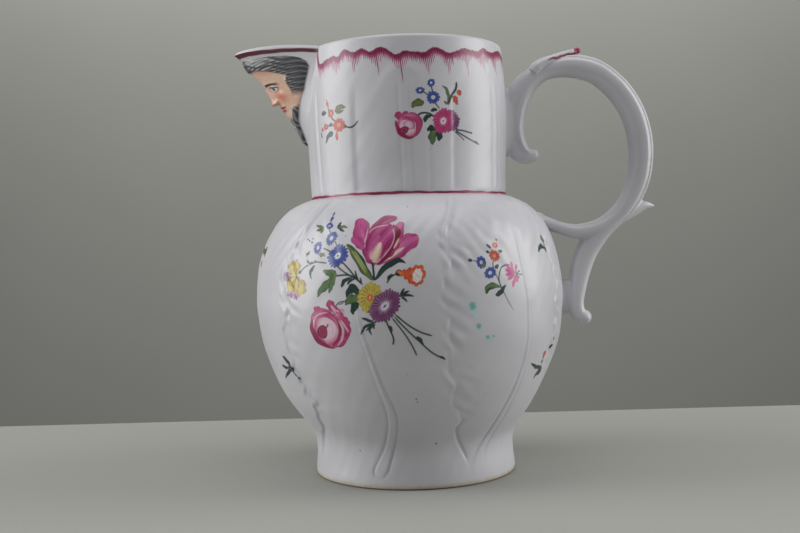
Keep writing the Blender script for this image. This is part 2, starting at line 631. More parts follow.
def mask_relief(q, p):
    """
    How far the mask stands off the spout, in millimetres: a rounded head with brow, sockets, eyes, lids, nose,
    cheeks, lips and chin as bells and domes, and wavy strands in the hair and the beard.
    """
    side = np.abs(q)
    head = 2.3 * dome(np.clip(q / 1.9, -1, 1)) - 0.4
    brow = 0.6 * hump(p - BROW - 0.02 * np.cos(side * 5), 0.05) * ease(0.85, 0.5, side) * ease(0.03, 0.16, side)
    socket = -1.1 * hump(p - EYES, 0.075) * hump(side - EYE_SIDE, 0.22)
    eye = 1.15 * dome(np.clip(np.hypot((side - EYE_SIDE) / 0.19, (p - EYES) / 0.055), 0, 1))
    lid = 0.35 * hump(p - EYES - 0.05 + 0.6 * (side - EYE_SIDE) ** 2, 0.016) * hump(side - EYE_SIDE, 0.2)
    bag = 0.18 * hump(p - EYES + 0.06 - 0.6 * (side - EYE_SIDE) ** 2, 0.016) * hump(side - EYE_SIDE, 0.2)
    down = np.clip((0.68 - p) / 0.31, 0, 1)
    nose = mix(0.9, 3.3, down**1.3) * hump(q, mix(0.1, 0.15, down)) * ease(0.31, 0.36, p) * ease(0.72, 0.6, p)
    tip = 0.7 * hump(p - 0.375, 0.04) * hump(q, 0.1) * ease(0.31, 0.35, p)
    wings = 1.1 * hump(p - 0.36, 0.035) * hump(side - 0.17, 0.06)
    cheeks = 0.65 * hump(p - 0.43, 0.13) * hump(side - 0.55, 0.26)
    muzzle = 0.8 * hump(p - 0.22, 0.11) * hump(q, 0.42)
    upper = 0.5 * hump(p - MOUTH - 0.032 + 0.1 * side**2, 0.02) * ease(0.38, 0.2, side)
    lower = 0.65 * hump(p - MOUTH + 0.034 - 0.3 * side**2, 0.024) * ease(0.33, 0.12, side)
    line = -0.55 * hump(p - MOUTH - 0.006, 0.011) * ease(0.42, 0.3, side)
    chin = 0.9 * hump(p - 0.06, 0.065) * hump(q, 0.3) - 0.3 * hump(p - 0.135, 0.022) * hump(q, 0.25)
    hair, beard = hair_share(q, p), beard_share(q, p)
    face = brow + socket + eye + lid + bag + nose + tip + wings + cheeks + muzzle + upper + lower + line + chin
    strands = np.sin(p * 62 + 7 * np.abs(q) + 1.6 * np.sin(q * 9)) * 0.22 + 0.12 * np.sin(p * 131 + q * 17)
    locks = np.sin(q * 34 + 2.4 * np.sin(p * 17)) * 0.26 + 0.1 * np.sin(q * 71 + p * 9)
    return head + face * (1 - hair) * (1 - 0.9 * beard) + hair * (0.75 + strands) + beard * (0.7 + locks)


def mask_grid():
    """The mask's parameters: rows from the beard's point to the hair, columns from one side to the other."""
    up = np.linspace(MASK_FOOT, MASK_TOP, 250)[:, None]
    s = np.sin(np.linspace(-1, 1, 181) * math.pi / 2 * 0.98) / math.sin(math.pi / 2 * 0.98)
    across = s[None, :] * mask_half_width(up) / beak_width(up, SPOUT_HALF_WIDTH)
    return across, up * np.ones_like(across), s[None, :] * np.ones_like(across)


def mask_rings():
    """The mask's closed skin as one ring for each row: across its front, and back inside the spout's wall."""
    across, up, s = mask_grid()
    q, p = face_place(across, up)
    ends = dome(np.clip(np.abs(s), 0, 1) ** 3) * ease(MASK_FOOT, 0.12, up) ** 0.5 * dome(ease(0.83, MASK_TOP, up))
    front = off_spout(across, up, mask_relief(q, p) * ends + MASK_BORDER * (1 - ends))
    back = off_spout(across, up, np.full(across.shape, MASK_BACK))
    return np.concatenate([front, back[:, ::-1]], axis=1)


# The painted sprays, one row for each touch of the brush, in the order of painting and in millimetres along the skin:
# for a stroke its kind, tone, width and points; for an open flower its kind, tone, radius, squash, tilt, number of
# petals and place; for a blob, a ring or a wash its kind, tone, half sizes, tilt and place.
BOUQUET = [
    ("petal", "tulip", 8.86, [(-10.7, 26.4), (-13.5, 34.1), (-15.2, 45.9)]),
    ("sheen", "tulip_pale", 4.66, [(-11.2, 28.2), (-12.8, 33.7), (-14.5, 39.4)]),
    ("petal", "tulip", 4.35, [(-10.1, 25.2), (-14.4, 30.1), (-19.3, 34.7)]),
    ("petal", "tulip_pale", 5.14, [(1.1, 27.9), (4.3, 34.7), (5.7, 43.2)]),
    ("petal", "tulip_front", 6.09, [(-9.7, 27.5), (-8.1, 35.6), (-3.7, 42.5), (3.6, 46.1)]),
    ("leaf", "rose_deep", 1.89, [(-6.9, 38.7), (-3.0, 44.1), (3.2, 45.9)]),
    ("petal", "tulip", 6.04, [(-6.7, 20.2), (0.5, 23.4), (9.7, 28.4)]),
    ("petal", "tulip_pale", 8.29, [(-2.4, 21.5), (4.0, 26.7), (9.6, 30.9), (15.1, 34.0)]),
    ("sheen", "tulip_front", 4.4, [(6.9, 25.8), (11.5, 29.0), (14.6, 32.1)]),
    ("sheen", "cream", 2.99, [(-0.1, 22.8), (3.7, 25.8), (7.9, 28.5)]),
    ("leaf", "rose", 2.14, [(3.7, 28.5), (6.0, 32.4), (9.5, 35.2), (13.9, 34.9)]),
    ("petal", "tulip", 6.9, [(-6.7, 20.0), (-2.4, 24.3), (1.4, 29.0), (3.8, 33.2)]),
    ("petal", "tulip_front", 6.61, [(-6.7, 19.5), (-9.4, 24.5), (-9.4, 31.9)]),
    ("petal", "tulip_front", 13.67, [(-7.3, 19.8), (-6.6, 27.0), (-3.2, 34.6), (1.8, 40.9)]),
    ("sheen", "tulip_pale", 6.21, [(-8.5, 22.7), (-7.9, 28.9), (-4.5, 35.5)]),
    ("sheen", "cream", 6.19, [(-7.2, 21.1), (-5.9, 25.6), (-3.9, 31.7)]),
    ("leaf", "crimson", 2.31, [(1.7, 41.4), (4.8, 37.5), (3.8, 32.8), (0.9, 26.4), (-3.0, 21.7)]),
    ("leaf", "crimson", 2.0, [(3.0, 32.3), (0.6, 25.9), (-3.0, 21.8), (-6.4, 20.0)]),
    ("sheen", "cream", 1.57, [(5.1, 33.5), (3.9, 30.5), (2.7, 28.2)]),
    ("line", "rose_pale", 0.59, [(-12.1, 28.6), (-11.3, 34.3), (-7.0, 39.7), (-0.1, 41.0)]),
    ("line", "rose_pale", 0.58, [(2.0, 38.7), (2.8, 34.2), (1.4, 29.4), (-2.7, 23.7)]),
    ("line", "rose_pale", 0.69, [(-10.2, 41.0), (-11.1, 36.0), (-12.2, 31.9)]),
    ("line", "tulip_front", 0.9, [(-12.1, 42.8), (-10.2, 39.3), (-10.8, 34.0)]),
    ("line", "tulip_front", 0.8, [(-17.7, 34.2), (-14.6, 34.4), (-12.0, 30.5)]),
    ("line", "bottle", 1.17, [(-7.9, 21.2), (-7.3, 16.4), (-7.0, 12.4)]),
    ("leaf", "moss", 4.82, [(-22.1, 31.0), (-17.4, 26.3), (-13.3, 19.8), (-10.2, 15.2), (-6.9, 12.3)]),
    ("sheen", "moss_pale", 1.63, [(-19.0, 27.5), (-14.9, 21.7), (-11.1, 15.9)]),
    ("sheen", "moss_pale", 1.04, [(-17.7, 27.8), (-13.6, 21.8), (-10.4, 17.1)]),
    ("line", "bottle", 0.61, [(-22.1, 31.0), (-15.8, 26.6), (-11.2, 19.4), (-6.9, 12.3)]),
    ("leaf", "bottle", 3.15, [(-6.7, 12.0), (-4.2, 15.7), (-0.2, 19.5), (4.1, 21.7), (6.9, 21.7), (8.6, 20.1)]),
    ("line", "bottle", 0.55, [(-31.7, 50.3), (-32.1, 45.4), (-32.8, 40.0), (-31.3, 37.0)]),
    ("line", "bottle", 0.63, [(-28.5, 32.9), (-27.3, 29.4)]),
    ("line", "bottle", 0.75, [(-35.8, 29.3), (-30.4, 27.0), (-28.6, 25.6)]),
    ("line", "bottle", 0.92, [(-24.8, 22.6), (-20.3, 18.1), (-17.2, 14.5), (-12.8, 10.1)]),
    ("line", "bottle", 0.82, [(-27.6, 20.4), (-23.5, 17.1), (-19.1, 14.6), (-16.4, 13.0)]),
    ("line", "bottle", 0.67, [(-44.8, 20.7), (-39.8, 21.9), (-33.1, 21.4)]),
    ("line", "bottle", 0.67, [(-44.9, 20.6), (-48.2, 19.1), (-51.2, 16.6)]),
    ("aster", "blue", 7.46, 0.75, 42, 17, (-26.7, 25.0)),
    ("aster", "blue", 4.54, 0.72, 50, 13, (-30.9, 34.5)),
    ("aster", "blue", 3.88, 0.75, 70, 11, (-39.3, 29.6)),
    ("aster", "blue", 2.48, 0.85, 20, 6, (-32.8, 41.6)),
    ("petal", "blue", 1.77, [(-32.8, 44.3), (-31.5, 47.6)]),
    ("petal", "blue", 1.29, [(-31.8, 48.0), (-31.3, 51.1)]),
    ("petal", "navy", 1.2, [(-47.7, 34.0), (-46.5, 34.8)]),
    ("petal", "navy", 1.19, [(-46.1, 33.1), (-45.1, 33.9)]),
    ("petal", "navy", 1.17, [(-44.4, 32.2), (-43.1, 32.9)]),
    ("petal", "navy", 1.17, [(-43.8, 34.4), (-42.9, 35.0)]),
    ("leaf", "moss", 1.95, [(-36.3, 40.2), (-39.0, 41.6), (-42.4, 42.5)]),
    ("leaf", "moss", 1.95, [(-36.2, 40.0), (-38.9, 39.7), (-41.7, 39.1)]),
    ("leaf", "moss", 1.62, [(-36.4, 39.6), (-37.7, 38.5), (-38.4, 37.7)]),
    ("leaf", "bottle", 1.87, [(-27.7, 39.7), (-26.9, 42.0), (-25.7, 43.9)]),
    ("leaf", "moss", 1.87, [(-27.6, 40.0), (-24.7, 40.8), (-21.7, 40.0)]),
    ("leaf", "bottle", 1.56, [(-27.4, 40.4), (-25.3, 38.9), (-23.4, 37.9)]),
    ("leaf", "moss", 1.61, [(-38.7, 25.8), (-36.5, 26.1), (-33.9, 24.9)]),
    ("leaf", "moss", 1.44, [(-37.7, 24.6), (-36.0, 25.7), (-34.6, 26.9)]),
    ("leaf", "bottle", 1.18, [(-46.9, 25.3), (-46.2, 26.6), (-44.1, 28.0)]),
    ("leaf", "bottle", 1.01, [(-47.6, 26.5), (-46.0, 26.3), (-44.6, 26.6)]),
    ("leaf", "bottle", 1.09, [(-46.5, 23.0), (-45.2, 21.9), (-44.0, 21.2)]),
    ("leaf", "bottle", 1.07, [(-44.1, 21.2), (-43.0, 21.8), (-41.7, 21.9)]),
    ("leaf", "bottle", 1.06, [(-41.4, 22.9), (-40.0, 22.2), (-39.0, 21.9)]),
    ("leaf", "bottle", 1.93, [(-40.5, 20.5), (-42.5, 18.3), (-43.6, 16.0), (-42.5, 12.9)]),
    ("blob", "bottle", (1.11, 0.85), 30, (-51.2, 16.7)),
    ("line", "bottle", 0.92, [(-27.9, 14.6), (-24.2, 15.1), (-20.1, 15.0), (-16.7, 13.4), (-13.1, 10.3)]),
    ("leaf", "fern", 4.4, [(-27.5, 14.9), (-31.5, 11.3), (-35.9, 8.1), (-39.0, 4.1)]),
    ("leaf", "fern", 3.64, [(-27.9, 14.2), (-31.0, 16.1), (-35.6, 17.4)]),
    ("leaf", "fern", 2.89, [(-28.0, 14.0), (-30.2, 10.3), (-31.7, 5.8)]),
    ("leaf", "fern", 3.03, [(-27.5, 14.6), (-29.0, 16.4), (-31.2, 17.7)]),
    ("leaf", "bottle", 2.1, [(-24.4, 8.8), (-22.8, 12.2), (-18.3, 13.9)]),
    ("leaf", "bottle", 1.48, [(-21.2, 10.2), (-19.5, 12.3), (-16.7, 13.2)]),
    ("leaf", "bottle", 1.1, [(-17.0, 17.6), (-16.1, 14.4), (-14.7, 12.0)]),
    ("leaf", "bottle", 0.87, [(-14.3, 14.0), (-13.4, 11.0)]),
    ("leaf", "bottle", 4.51, [(-15.0, 4.5), (-17.5, 8.4), (-19.9, 7.3), (-22.0, 3.8)]),
    ("leaf", "fern", 4.66, [(-15.0, 3.4), (-18.8, 3.1), (-22.8, 0.4)]),
    ("leaf", "bottle", 3.78, [(-14.9, 0.9), (-17.7, -0.9), (-18.7, -4.7)]),
    ("line", "bottle", 0.61, [(-28.1, -0.7), (-25.8, 1.5), (-22.0, 2.2)]),
    ("line", "bottle", 0.51, [(-26.2, 0.5), (-24.4, 0.9), (-23.4, 1.6)]),
    ("anemone", "yellow", 8.2, 0.84, 75, 17, (-9.3, 3.8)),
    ("leaf", "bottle", 1.55, [(5.9, 3.8), (6.8, 6.1), (8.1, 8.4)]),
    ("leaf", "bottle", 1.41, [(6.2, 4.1), (8.6, 6.0), (10.6, 6.7)]),
    ("leaf", "bottle", 1.41, [(6.2, 4.1), (9.6, 4.7), (13.0, 3.9)]),
    ("leaf", "bottle", 1.27, [(6.2, 3.8), (8.1, 2.7), (9.4, 1.1)]),
    ("anemone", "mauve", 10.37, 0.69, 48, 27, (-1.9, -0.5)),
    ("leaf", "bottle", 1.58, [(-7.3, -8.9), (-11.2, -7.1), (-14.3, -6.2)]),
    ("leaf", "bottle", 1.58, [(-7.3, -9.0), (-12.1, -10.6), (-15.0, -15.1)]),
    ("leaf", "bottle", 1.22, [(-7.6, -9.3), (-9.7, -10.7), (-12.2, -13.0)]),
    ("leaf", "bottle", 1.43, [(-7.3, -9.3), (-10.0, -11.9), (-8.9, -15.1)]),
    ("leaf", "bottle", 1.15, [(-7.0, -9.3), (-7.9, -10.6), (-7.4, -12.0)]),
    ("line", "bottle", 0.95, [(2.6, -4.3), (9.2, -10.0), (15.4, -13.9), (21.1, -16.0)]),
    ("line", "bottle", 0.96, [(2.0, -5.1), (8.4, -12.3), (13.8, -17.9), (20.6, -24.7), (27.0, -28.6)]),
    ("leaf", "bottle", 2.12, [(12.4, -16.6), (14.6, -17.4), (16.5, -20.4)]),
    ("leaf", "bottle", 1.43, [(24.0, -27.0), (25.6, -27.5), (27.3, -28.8)]),
    ("line", "bottle", 0.86, [(1.1, -5.8), (6.9, -13.7), (10.8, -20.7), (12.9, -26.1)]),
    ("line", "bottle", 0.96, [(-1.8, -7.1), (-0.1, -11.4), (1.8, -16.7), (1.3, -20.0)]),
    ("leaf", "bottle", 1.85, [(-0.7, -10.4), (0.7, -11.6), (0.9, -14.3)]),
    ("line", "bottle", 0.76, [(4.9, 15.6), (1.4, 13.8), (-0.7, 10.8)]),
    ("leaf", "bottle", 1.84, [(3.1, 14.9), (0.6, 13.8), (-0.1, 11.3)]),
    ("blob", "bottle", (1.98, 1.7), 0, (5.5, 15.7)),
    ("flare", "orange", 9.9, [(5.8, 15.7), (8.7, 15.2), (12.3, 14.4)]),
    ("bloom", "orange", 6.21, 0.68, 80, 7, (14.5, 14.2)),
    ("petal", "rose", 4.67, [(-26.7, -5.6), (-29.8, -1.1), (-32.7, 2.3)]),
    ("sheen", "rose_pale", 2.57, [(-27.0, -4.5), (-28.9, -2.0), (-30.7, 0.0)]),
    ("petal", "rose_pale", 4.39, [(-27.9, -5.9), (-26.0, -3.4), (-23.4, -5.2)]),
    ("line", "rose", 0.93, [(-30.8, 1.1), (-26.9, -1.4), (-23.5, -5.1)]),
    ("petal", "rose", 3.55, [(-32.7, -4.3), (-37.4, -2.6), (-41.6, -1.8)]),
    ("blob", "rose_bowl", (8.67, 8.98), 0, (-33.2, -11.9)),
    ("leaf", "rose", 5.61, [(-28.2, -3.5), (-23.6, -8.1), (-23.2, -14.3), (-26.5, -19.2), (-31.5, -21.3)]),
    ("petal", "rose", 3.77, [(-27.1, -5.6), (-23.5, -7.0), (-20.6, -10.1)]),
    ("petal", "rose", 3.79, [(-27.6, -15.1), (-24.6, -16.5), (-22.4, -17.5)]),
    ("petal", "rose", 4.07, [(-26.5, -9.5), (-22.9, -11.5), (-19.8, -13.6)]),
    ("line", "rose_deep", 0.6, [(-20.8, -10.7), (-23.3, -10.7), (-25.5, -9.8)]),
    ("line", "rose_deep", 0.6, [(-20.4, -14.8), (-23.1, -14.7), (-25.4, -13.6)]),
    ("sheen", "rose_pale", 1.65, [(-25.4, -7.0), (-22.8, -10.6), (-21.1, -13.5)]),
    ("sheen", "rose_pale", 1.96, [(-27.2, -7.0), (-24.3, -11.3), (-25.0, -16.9), (-28.1, -20.7)]),
    ("leaf", "rose_deep", 1.52, [(-28.7, -5.6), (-26.0, -10.6), (-26.9, -16.5), (-31.1, -20.2)]),
    ("leaf", "rose", 3.73, [(-43.4, -8.4), (-40.1, -4.4), (-34.4, -3.0), (-27.9, -6.3)]),
    ("sheen", "rose_pale", 1.28, [(-41.2, -6.9), (-38.2, -4.6), (-32.9, -3.6)]),
    ("leaf", "rose_deep", 3.4, [(-42.9, -6.9), (-43.0, -11.7), (-40.4, -16.9), (-35.6, -20.4), (-28.5, -21.8)]),
    ("sheen", "rose", 1.77, [(-41.4, -10.9), (-39.0, -15.7), (-34.6, -19.0)]),
    ("leaf", "rose", 1.44, [(-41.0, -9.8), (-38.7, -6.4), (-33.8, -5.2), (-28.9, -7.9), (-26.9, -12.1)]),
    ("sheen", "rose_bowl", 4.0, [(-32.2, -7.1), (-29.0, -10.7), (-29.8, -15.8)]),
    ("blob", "crimson", (3.14, 3.46), 0, (-36.3, -13.5)),
    ("ring", "rose", (2.04, 2.28), 0, (-36.3, -13.5)),
    ("ring", "rose", (0.94, 1.1), 0, (-36.3, -13.5)),
    ("line", "rose_deep", 0.83, [(-32.5, -9.4), (-34.0, -11.6)]),
    ("leaf", "mauve_pale", 2.7, [(-58.7, 14.6), (-62.0, 15.5), (-64.4, 15.0)]),
    ("leaf", "mauve_pale", 2.34, [(-58.7, 13.8), (-62.2, 13.7), (-64.0, 12.7)]),
    ("leaf", "mauve", 1.79, [(-58.6, 13.1), (-61.6, 12.2), (-63.2, 12.3)]),
    ("leaf", "mauve_pale", 2.68, [(-58.5, 7.1), (-60.3, 5.6), (-59.8, 4.2)]),
    ("leaf", "mauve", 2.3, [(-57.3, 6.8), (-58.1, 4.8), (-57.1, 3.3)]),
    ("leaf", "mauve_pale", 2.28, [(-56.2, 6.4), (-55.7, 4.2), (-54.9, 2.6)]),
    ("leaf", "mauve", 2.09, [(-55.0, 6.5), (-54.1, 4.1), (-53.3, 2.2)]),
    ("leaf", "mauve_pale", 2.25, [(-53.9, 6.1), (-52.4, 4.7), (-51.7, 3.7)]),
    ("leaf", "mauve", 1.68, [(-49.0, 8.8), (-47.3, 10.2), (-46.5, 11.1)]),
    ("leaf", "mauve_pale", 1.68, [(-49.0, 7.3), (-47.5, 7.7), (-46.7, 8.8)]),
    ("leaf", "mauve_pale", 2.12, [(-55.5, 20.6), (-54.3, 22.4), (-54.0, 23.8)]),
    ("leaf", "mauve", 1.25, [(-56.7, 20.6), (-57.1, 22.1), (-56.7, 23.2)]),
    ("petal", "yellow", 7.29, [(-53.8, 14.3), (-57.2, 18.0), (-59.3, 22.3)]),
    ("petal", "yellow", 5.22, [(-54.0, 14.6), (-53.5, 18.4), (-54.3, 22.3)]),
    ("petal", "yellow", 7.99, [(-54.0, 14.3), (-57.6, 11.2), (-60.0, 6.8)]),
    ("petal", "yellow", 8.5, [(-53.8, 14.3), (-51.0, 10.2), (-50.2, 4.9)]),
    ("petal", "yellow", 5.21, [(-54.0, 14.3), (-53.9, 10.2), (-55.0, 6.5)]),
    ("line", "brown", 0.47, [(-54.0, 14.6), (-55.5, 16.9), (-57.3, 18.7)]),
    ("line", "brown", 0.47, [(-54.0, 14.6), (-53.6, 16.9), (-53.8, 18.7)]),
    ("line", "brown", 0.47, [(-54.2, 13.9), (-56.2, 12.0), (-58.1, 9.7)]),
    ("line", "brown", 0.47, [(-54.0, 13.7), (-55.0, 11.3), (-55.9, 8.7)]),
    ("line", "brown", 0.47, [(-53.5, 13.9), (-52.2, 11.7), (-51.5, 9.1)]),
    ("line", "brown", 0.47, [(-53.3, 14.0), (-51.1, 12.3), (-49.3, 10.2)]),
    ("blob", "brown", (0.87, 0.7), 0, (-54.0, 14.3)),
    ("blob", "brown", (0.36, 0.29), 0, (8.2, 53.2)),
    ("blob", "brown", (0.45, 0.3), 40, (-22.6, 35.4)),
]

SIDE_SPRAY = [
    ("line", "bottle", 0.61, [
        (-23.2, 21.6), (-25.4, 19.2), (-25.5, 15.8), (-24.2, 11.8), (-22.3, 6.9), (-18.8, 0.3), (-14.2, -6.0),
    ]),
    ("line", "bottle", 0.58, [(-36.3, 20.8), (-33.2, 20.0), (-30.4, 17.5)]),
    ("line", "bottle", 0.73, [(-22.3, 6.9), (-23.3, 11.1), (-21.2, 16.2), (-17.6, 17.9), (-15.2, 17.8)]),
    ("aster", "iron", 3.61, 0.9, 0, 9, (-23.5, 22.8)),
    ("aster", "iron", 2.01, 0.9, 0, 6, (-21.4, 28.4)),
    ("blob", "iron", (0.55, 0.74), 0, (-19.5, 31.3)),
    ("blob", "navy", (1.12, 0.86), 0, (-37.6, 21.0)),
    ("aster", "blue", 3.67, 0.8, 60, 8, (-31.9, 19.7)),
    ("aster", "blue", 3.9, 0.8, 30, 9, (-28.0, 14.2)),
    ("leaf", "navy", 1.61, [(-26.6, 29.0), (-25.4, 27.8), (-24.3, 26.4)]),
    ("leaf", "bottle", 1.6, [(-27.8, 25.4), (-25.9, 24.5)]),
    ("leaf", "bottle", 1.83, [(-20.7, 24.7), (-17.8, 25.3)]),
    ("leaf", "bottle", 1.97, [(-24.8, 16.3), (-22.0, 18.3)]),
    ("leaf", "moss", 2.1, [(-32.2, 17.4), (-29.4, 19.0)]),
    ("petal", "pink", 1.81, [(-12.5, 13.2), (-15.6, 16.0), (-17.7, 18.6)]),
    ("petal", "pink", 1.71, [(-12.5, 13.4), (-13.9, 16.5), (-13.7, 19.5)]),
    ("petal", "pink", 1.52, [(-12.2, 13.4), (-11.5, 15.8), (-10.5, 18.0)]),
    ("petal", "pink", 1.71, [(-12.5, 13.1), (-16.1, 14.4), (-18.5, 15.6)]),
    ("petal", "pink", 1.71, [(-12.6, 12.9), (-16.2, 12.9), (-19.0, 12.8)]),
    ("petal", "pink", 1.71, [(-12.6, 12.7), (-15.3, 11.5), (-18.1, 10.4)]),
    ("petal", "pink", 2.09, [(-12.4, 12.6), (-13.5, 10.0), (-15.3, 6.5)]),
    ("petal", "pink", 1.91, [(-12.2, 12.5), (-11.5, 10.8), (-12.0, 8.8)]),
    ("line", "bottle", 0.64, [(-12.3, 13.2), (-8.9, 14.6)]),
    ("line", "bottle", 0.64, [(-12.1, 12.9), (-7.3, 12.6)]),
    ("line", "bottle", 0.64, [(-12.4, 12.6), (-9.6, 10.9)]),
    ("leaf", "fern", 3.15, [(-31.5, 3.6), (-30.1, 6.9), (-26.3, 7.9), (-22.2, 6.4)]),
    ("leaf", "bottle", 1.31, [(-31.3, 3.9), (-29.6, 6.1), (-25.8, 6.5)]),
    ("leaf", "bottle", 2.68, [(-26.1, 2.7), (-22.8, 4.4), (-19.5, 8.1)]),
    ("wash", "turquoise", (2.31, 2.74), 20, (-38.9, -2.0)),
    ("wash", "turquoise_pale", (1.72, 2.92), -20, (-37.7, -5.6)),
    ("wash", "turquoise", (1.64, 1.82), 0, (-35.2, -12.1)),
    ("wash", "turquoise", (1.67, 1.23), -20, (-29.6, -18.1)),
    ("wash", "turquoise", (0.8, 0.89), 0, (-26.3, -17.7)),
    ("wash", "turquoise_pale", (1.77, 1.06), 0, (-28.0, -19.8)),
    ("leaf", "moss", 4.32, [(18.9, 33.3), (19.6, 31.5), (20.5, 29.3)]),
    ("line", "bottle", 0.84, [(19.9, 29.7), (19.0, 26.0)]),
    ("leaf", "bottle", 2.81, [(19.0, 26.0), (14.4, 27.0), (9.8, 23.8)]),
    ("leaf", "bottle", 2.31, [(18.3, 26.2), (19.7, 25.0), (20.5, 23.5)]),
    ("leaf", "bottle", 2.12, [(26.0, -25.2), (30.5, -23.6)]),
    ("leaf", "bottle", 2.04, [(22.4, -28.8), (25.2, -26.6)]),
    ("petal", "iron", 3.42, [(18.1, -34.8), (17.5, -32.2), (18.3, -29.7)]),
    ("leaf", "bottle", 1.93, [(16.7, -37.0), (18.0, -34.6)]),
    ("leaf", "bottle", 2.37, [(19.3, -39.3), (11.5, -38.3), (4.7, -35.1)]),
    ("leaf", "bottle", 2.96, [(18.7, -38.4), (16.1, -41.4), (12.3, -45.6)]),
    ("leaf", "bottle", 2.5, [(19.8, -39.4), (18.8, -42.3), (15.7, -43.9)]),
]

STRAY_SPRIGS = [
    ("leaf", "bottle", 2.69, [(-71.0, -28.4), (-66.1, -31.8), (-62.7, -35.6)]),
    ("leaf", "bottle", 2.08, [(-74.0, -34.0), (-70.1, -35.2), (-65.7, -35.3)]),
    ("leaf", "bottle", 2.36, [(-62.6, -35.3), (-67.9, -38.0), (-74.1, -42.5)]),
    ("leaf", "bottle", 2.62, [(-66.9, -34.2), (-63.3, -35.7), (-61.9, -38.9)]),
    ("line", "bottle", 1.14, [(-62.2, -38.3), (-59.8, -39.9), (-57.4, -41.2)]),
    ("leaf", "moss", 3.41, [(-108.8, 29.2), (-94.0, 27.2), (-94.2, 24.6)]),
    ("leaf", "bottle", 2.63, [(-96.0, 27.4), (-93.2, 28.9), (-94.1, 30.7)]),
    ("blob", "iron", (1.85, 2.12), 0, (-98.5, 20.9)),
    ("blob", "brown", (0.5, 0.38), 0, (10.9, -50.4)),
    ("blob", "brown", (0.38, 0.38), 0, (11.3, -52.3)),
    ("blob", "brown", (0.43, 0.43), 0, (-23.4, -87.2)),
    ("blob", "brown", (0.66, 0.4), 30, (18.5, -82.4)),
    ("blob", "brown", (0.25, 0.25), 0, (7.6, -35.7)),
]

NECK_SPRAY = [
    ("line", "bottle", 0.71, [(-4.2, 8.8), (-1.1, 6.5)]),
    ("line", "bottle", 0.72, [(-0.1, 12.0), (0.4, 9.1)]),
    ("line", "bottle", 0.72, [(1.5, 3.2), (4.0, 0.1)]),
    ("line", "bottle", 1.06, [(-9.0, -4.5), (-6.0, -2.3), (-1.9, -2.4), (1.0, -4.4)]),
    ("line", "bottle", 0.88, [(13.3, -10.7), (17.9, -11.1), (23.0, -12.2)]),
    ("line", "bottle", 0.88, [(13.2, -11.2), (20.0, -14.6), (28.0, -18.0)]),
    ("leaf", "bottle", 1.41, [(24.8, -16.5), (26.5, -17.1), (28.8, -18.3)]),
    ("blob", "bottle", (0.69, 0.59), 0, (23.1, -12.1)),
    ("line", "bottle", 0.63, [(12.7, -11.6), (15.8, -13.9), (18.5, -16.2)]),
    ("leaf", "bottle", 2.46, [(-4.4, -7.2), (-3.2, -4.4), (-0.3, -3.6)]),
    ("leaf", "moss", 4.04, [(-4.1, 2.9), (-7.9, 3.2), (-11.1, 0.7)]),
    ("leaf", "bottle", 1.94, [(-1.0, -1.3), (1.2, -0.4), (2.9, -0.8)]),
    ("leaf", "bottle", 3.38, [(1.5, -11.4), (-0.8, -10.1), (-3.1, -11.5)]),
    ("leaf", "fern", 4.44, [(1.2, -11.5), (-0.3, -14.5), (0.1, -18.8)]),
    ("leaf", "bottle", 3.74, [(1.7, -11.5), (3.7, -13.8), (3.1, -16.9)]),
    ("leaf", "moss", 2.01, [(8.9, 1.9), (9.4, 6.5), (8.1, 10.6), (5.7, 12.3)]),
    ("line", "bottle", 1.36, [(9.1, 2.6), (11.2, 7.2), (13.9, 10.8), (14.5, 14.4)]),
    ("leaf", "moss", 1.45, [(6.5, 4.1), (8.0, 3.0), (9.3, 3.0)]),
    ("line", "bottle", 0.74, [(10.4, 6.3), (13.2, 6.6)]),
    ("petal", "iron", 3.19, [(14.9, 2.3), (13.6, 4.4), (12.8, 7.3)]),
    ("blob", "iron", (1.42, 1.61), 20, (15.9, 8.9)),
    ("anemone", "mauve", 6.59, 0.95, 0, 18, (9.9, -6.1)),
    ("anemone", "magenta", 7.39, 0.84, 70, 19, (5.9, -6.3)),
    ("aster", "blue", 4.08, 0.92, 20, 12, (0.7, 6.0)),
    ("aster", "blue", 2.63, 0.8, 0, 7, (-6.1, 9.6)),
    ("aster", "blue", 2.48, 0.9, 30, 7, (-0.1, 13.6)),
    ("petal", "rose", 3.84, [(-14.4, -6.5), (-16.8, -3.8), (-19.5, -2.0)]),
    ("petal", "rose", 3.49, [(-12.7, -6.1), (-13.5, -3.5), (-15.2, -1.4)]),
    ("blob", "rose_bowl", (6.28, 6.45), 0, (-12.9, -8.9)),
    ("leaf", "rose", 4.01, [(-14.3, -3.2), (-9.1, -4.0), (-7.0, -9.2), (-10.2, -15.0)]),
    ("leaf", "rose_deep", 2.27, [(-19.3, -5.4), (-17.8, -10.7), (-13.7, -14.7), (-9.2, -14.4)]),
    ("leaf", "rose", 1.92, [(-18.3, -6.8), (-15.2, -4.5), (-10.9, -6.1), (-9.6, -10.9)]),
    ("blob", "rose_pale", (2.96, 2.27), -30, (-12.5, -8.2)),
    ("blob", "crimson", (2.44, 1.92), 20, (-14.9, -10.9)),
    ("ring", "rose", (1.31, 0.96), 20, (-14.9, -10.9)),
]

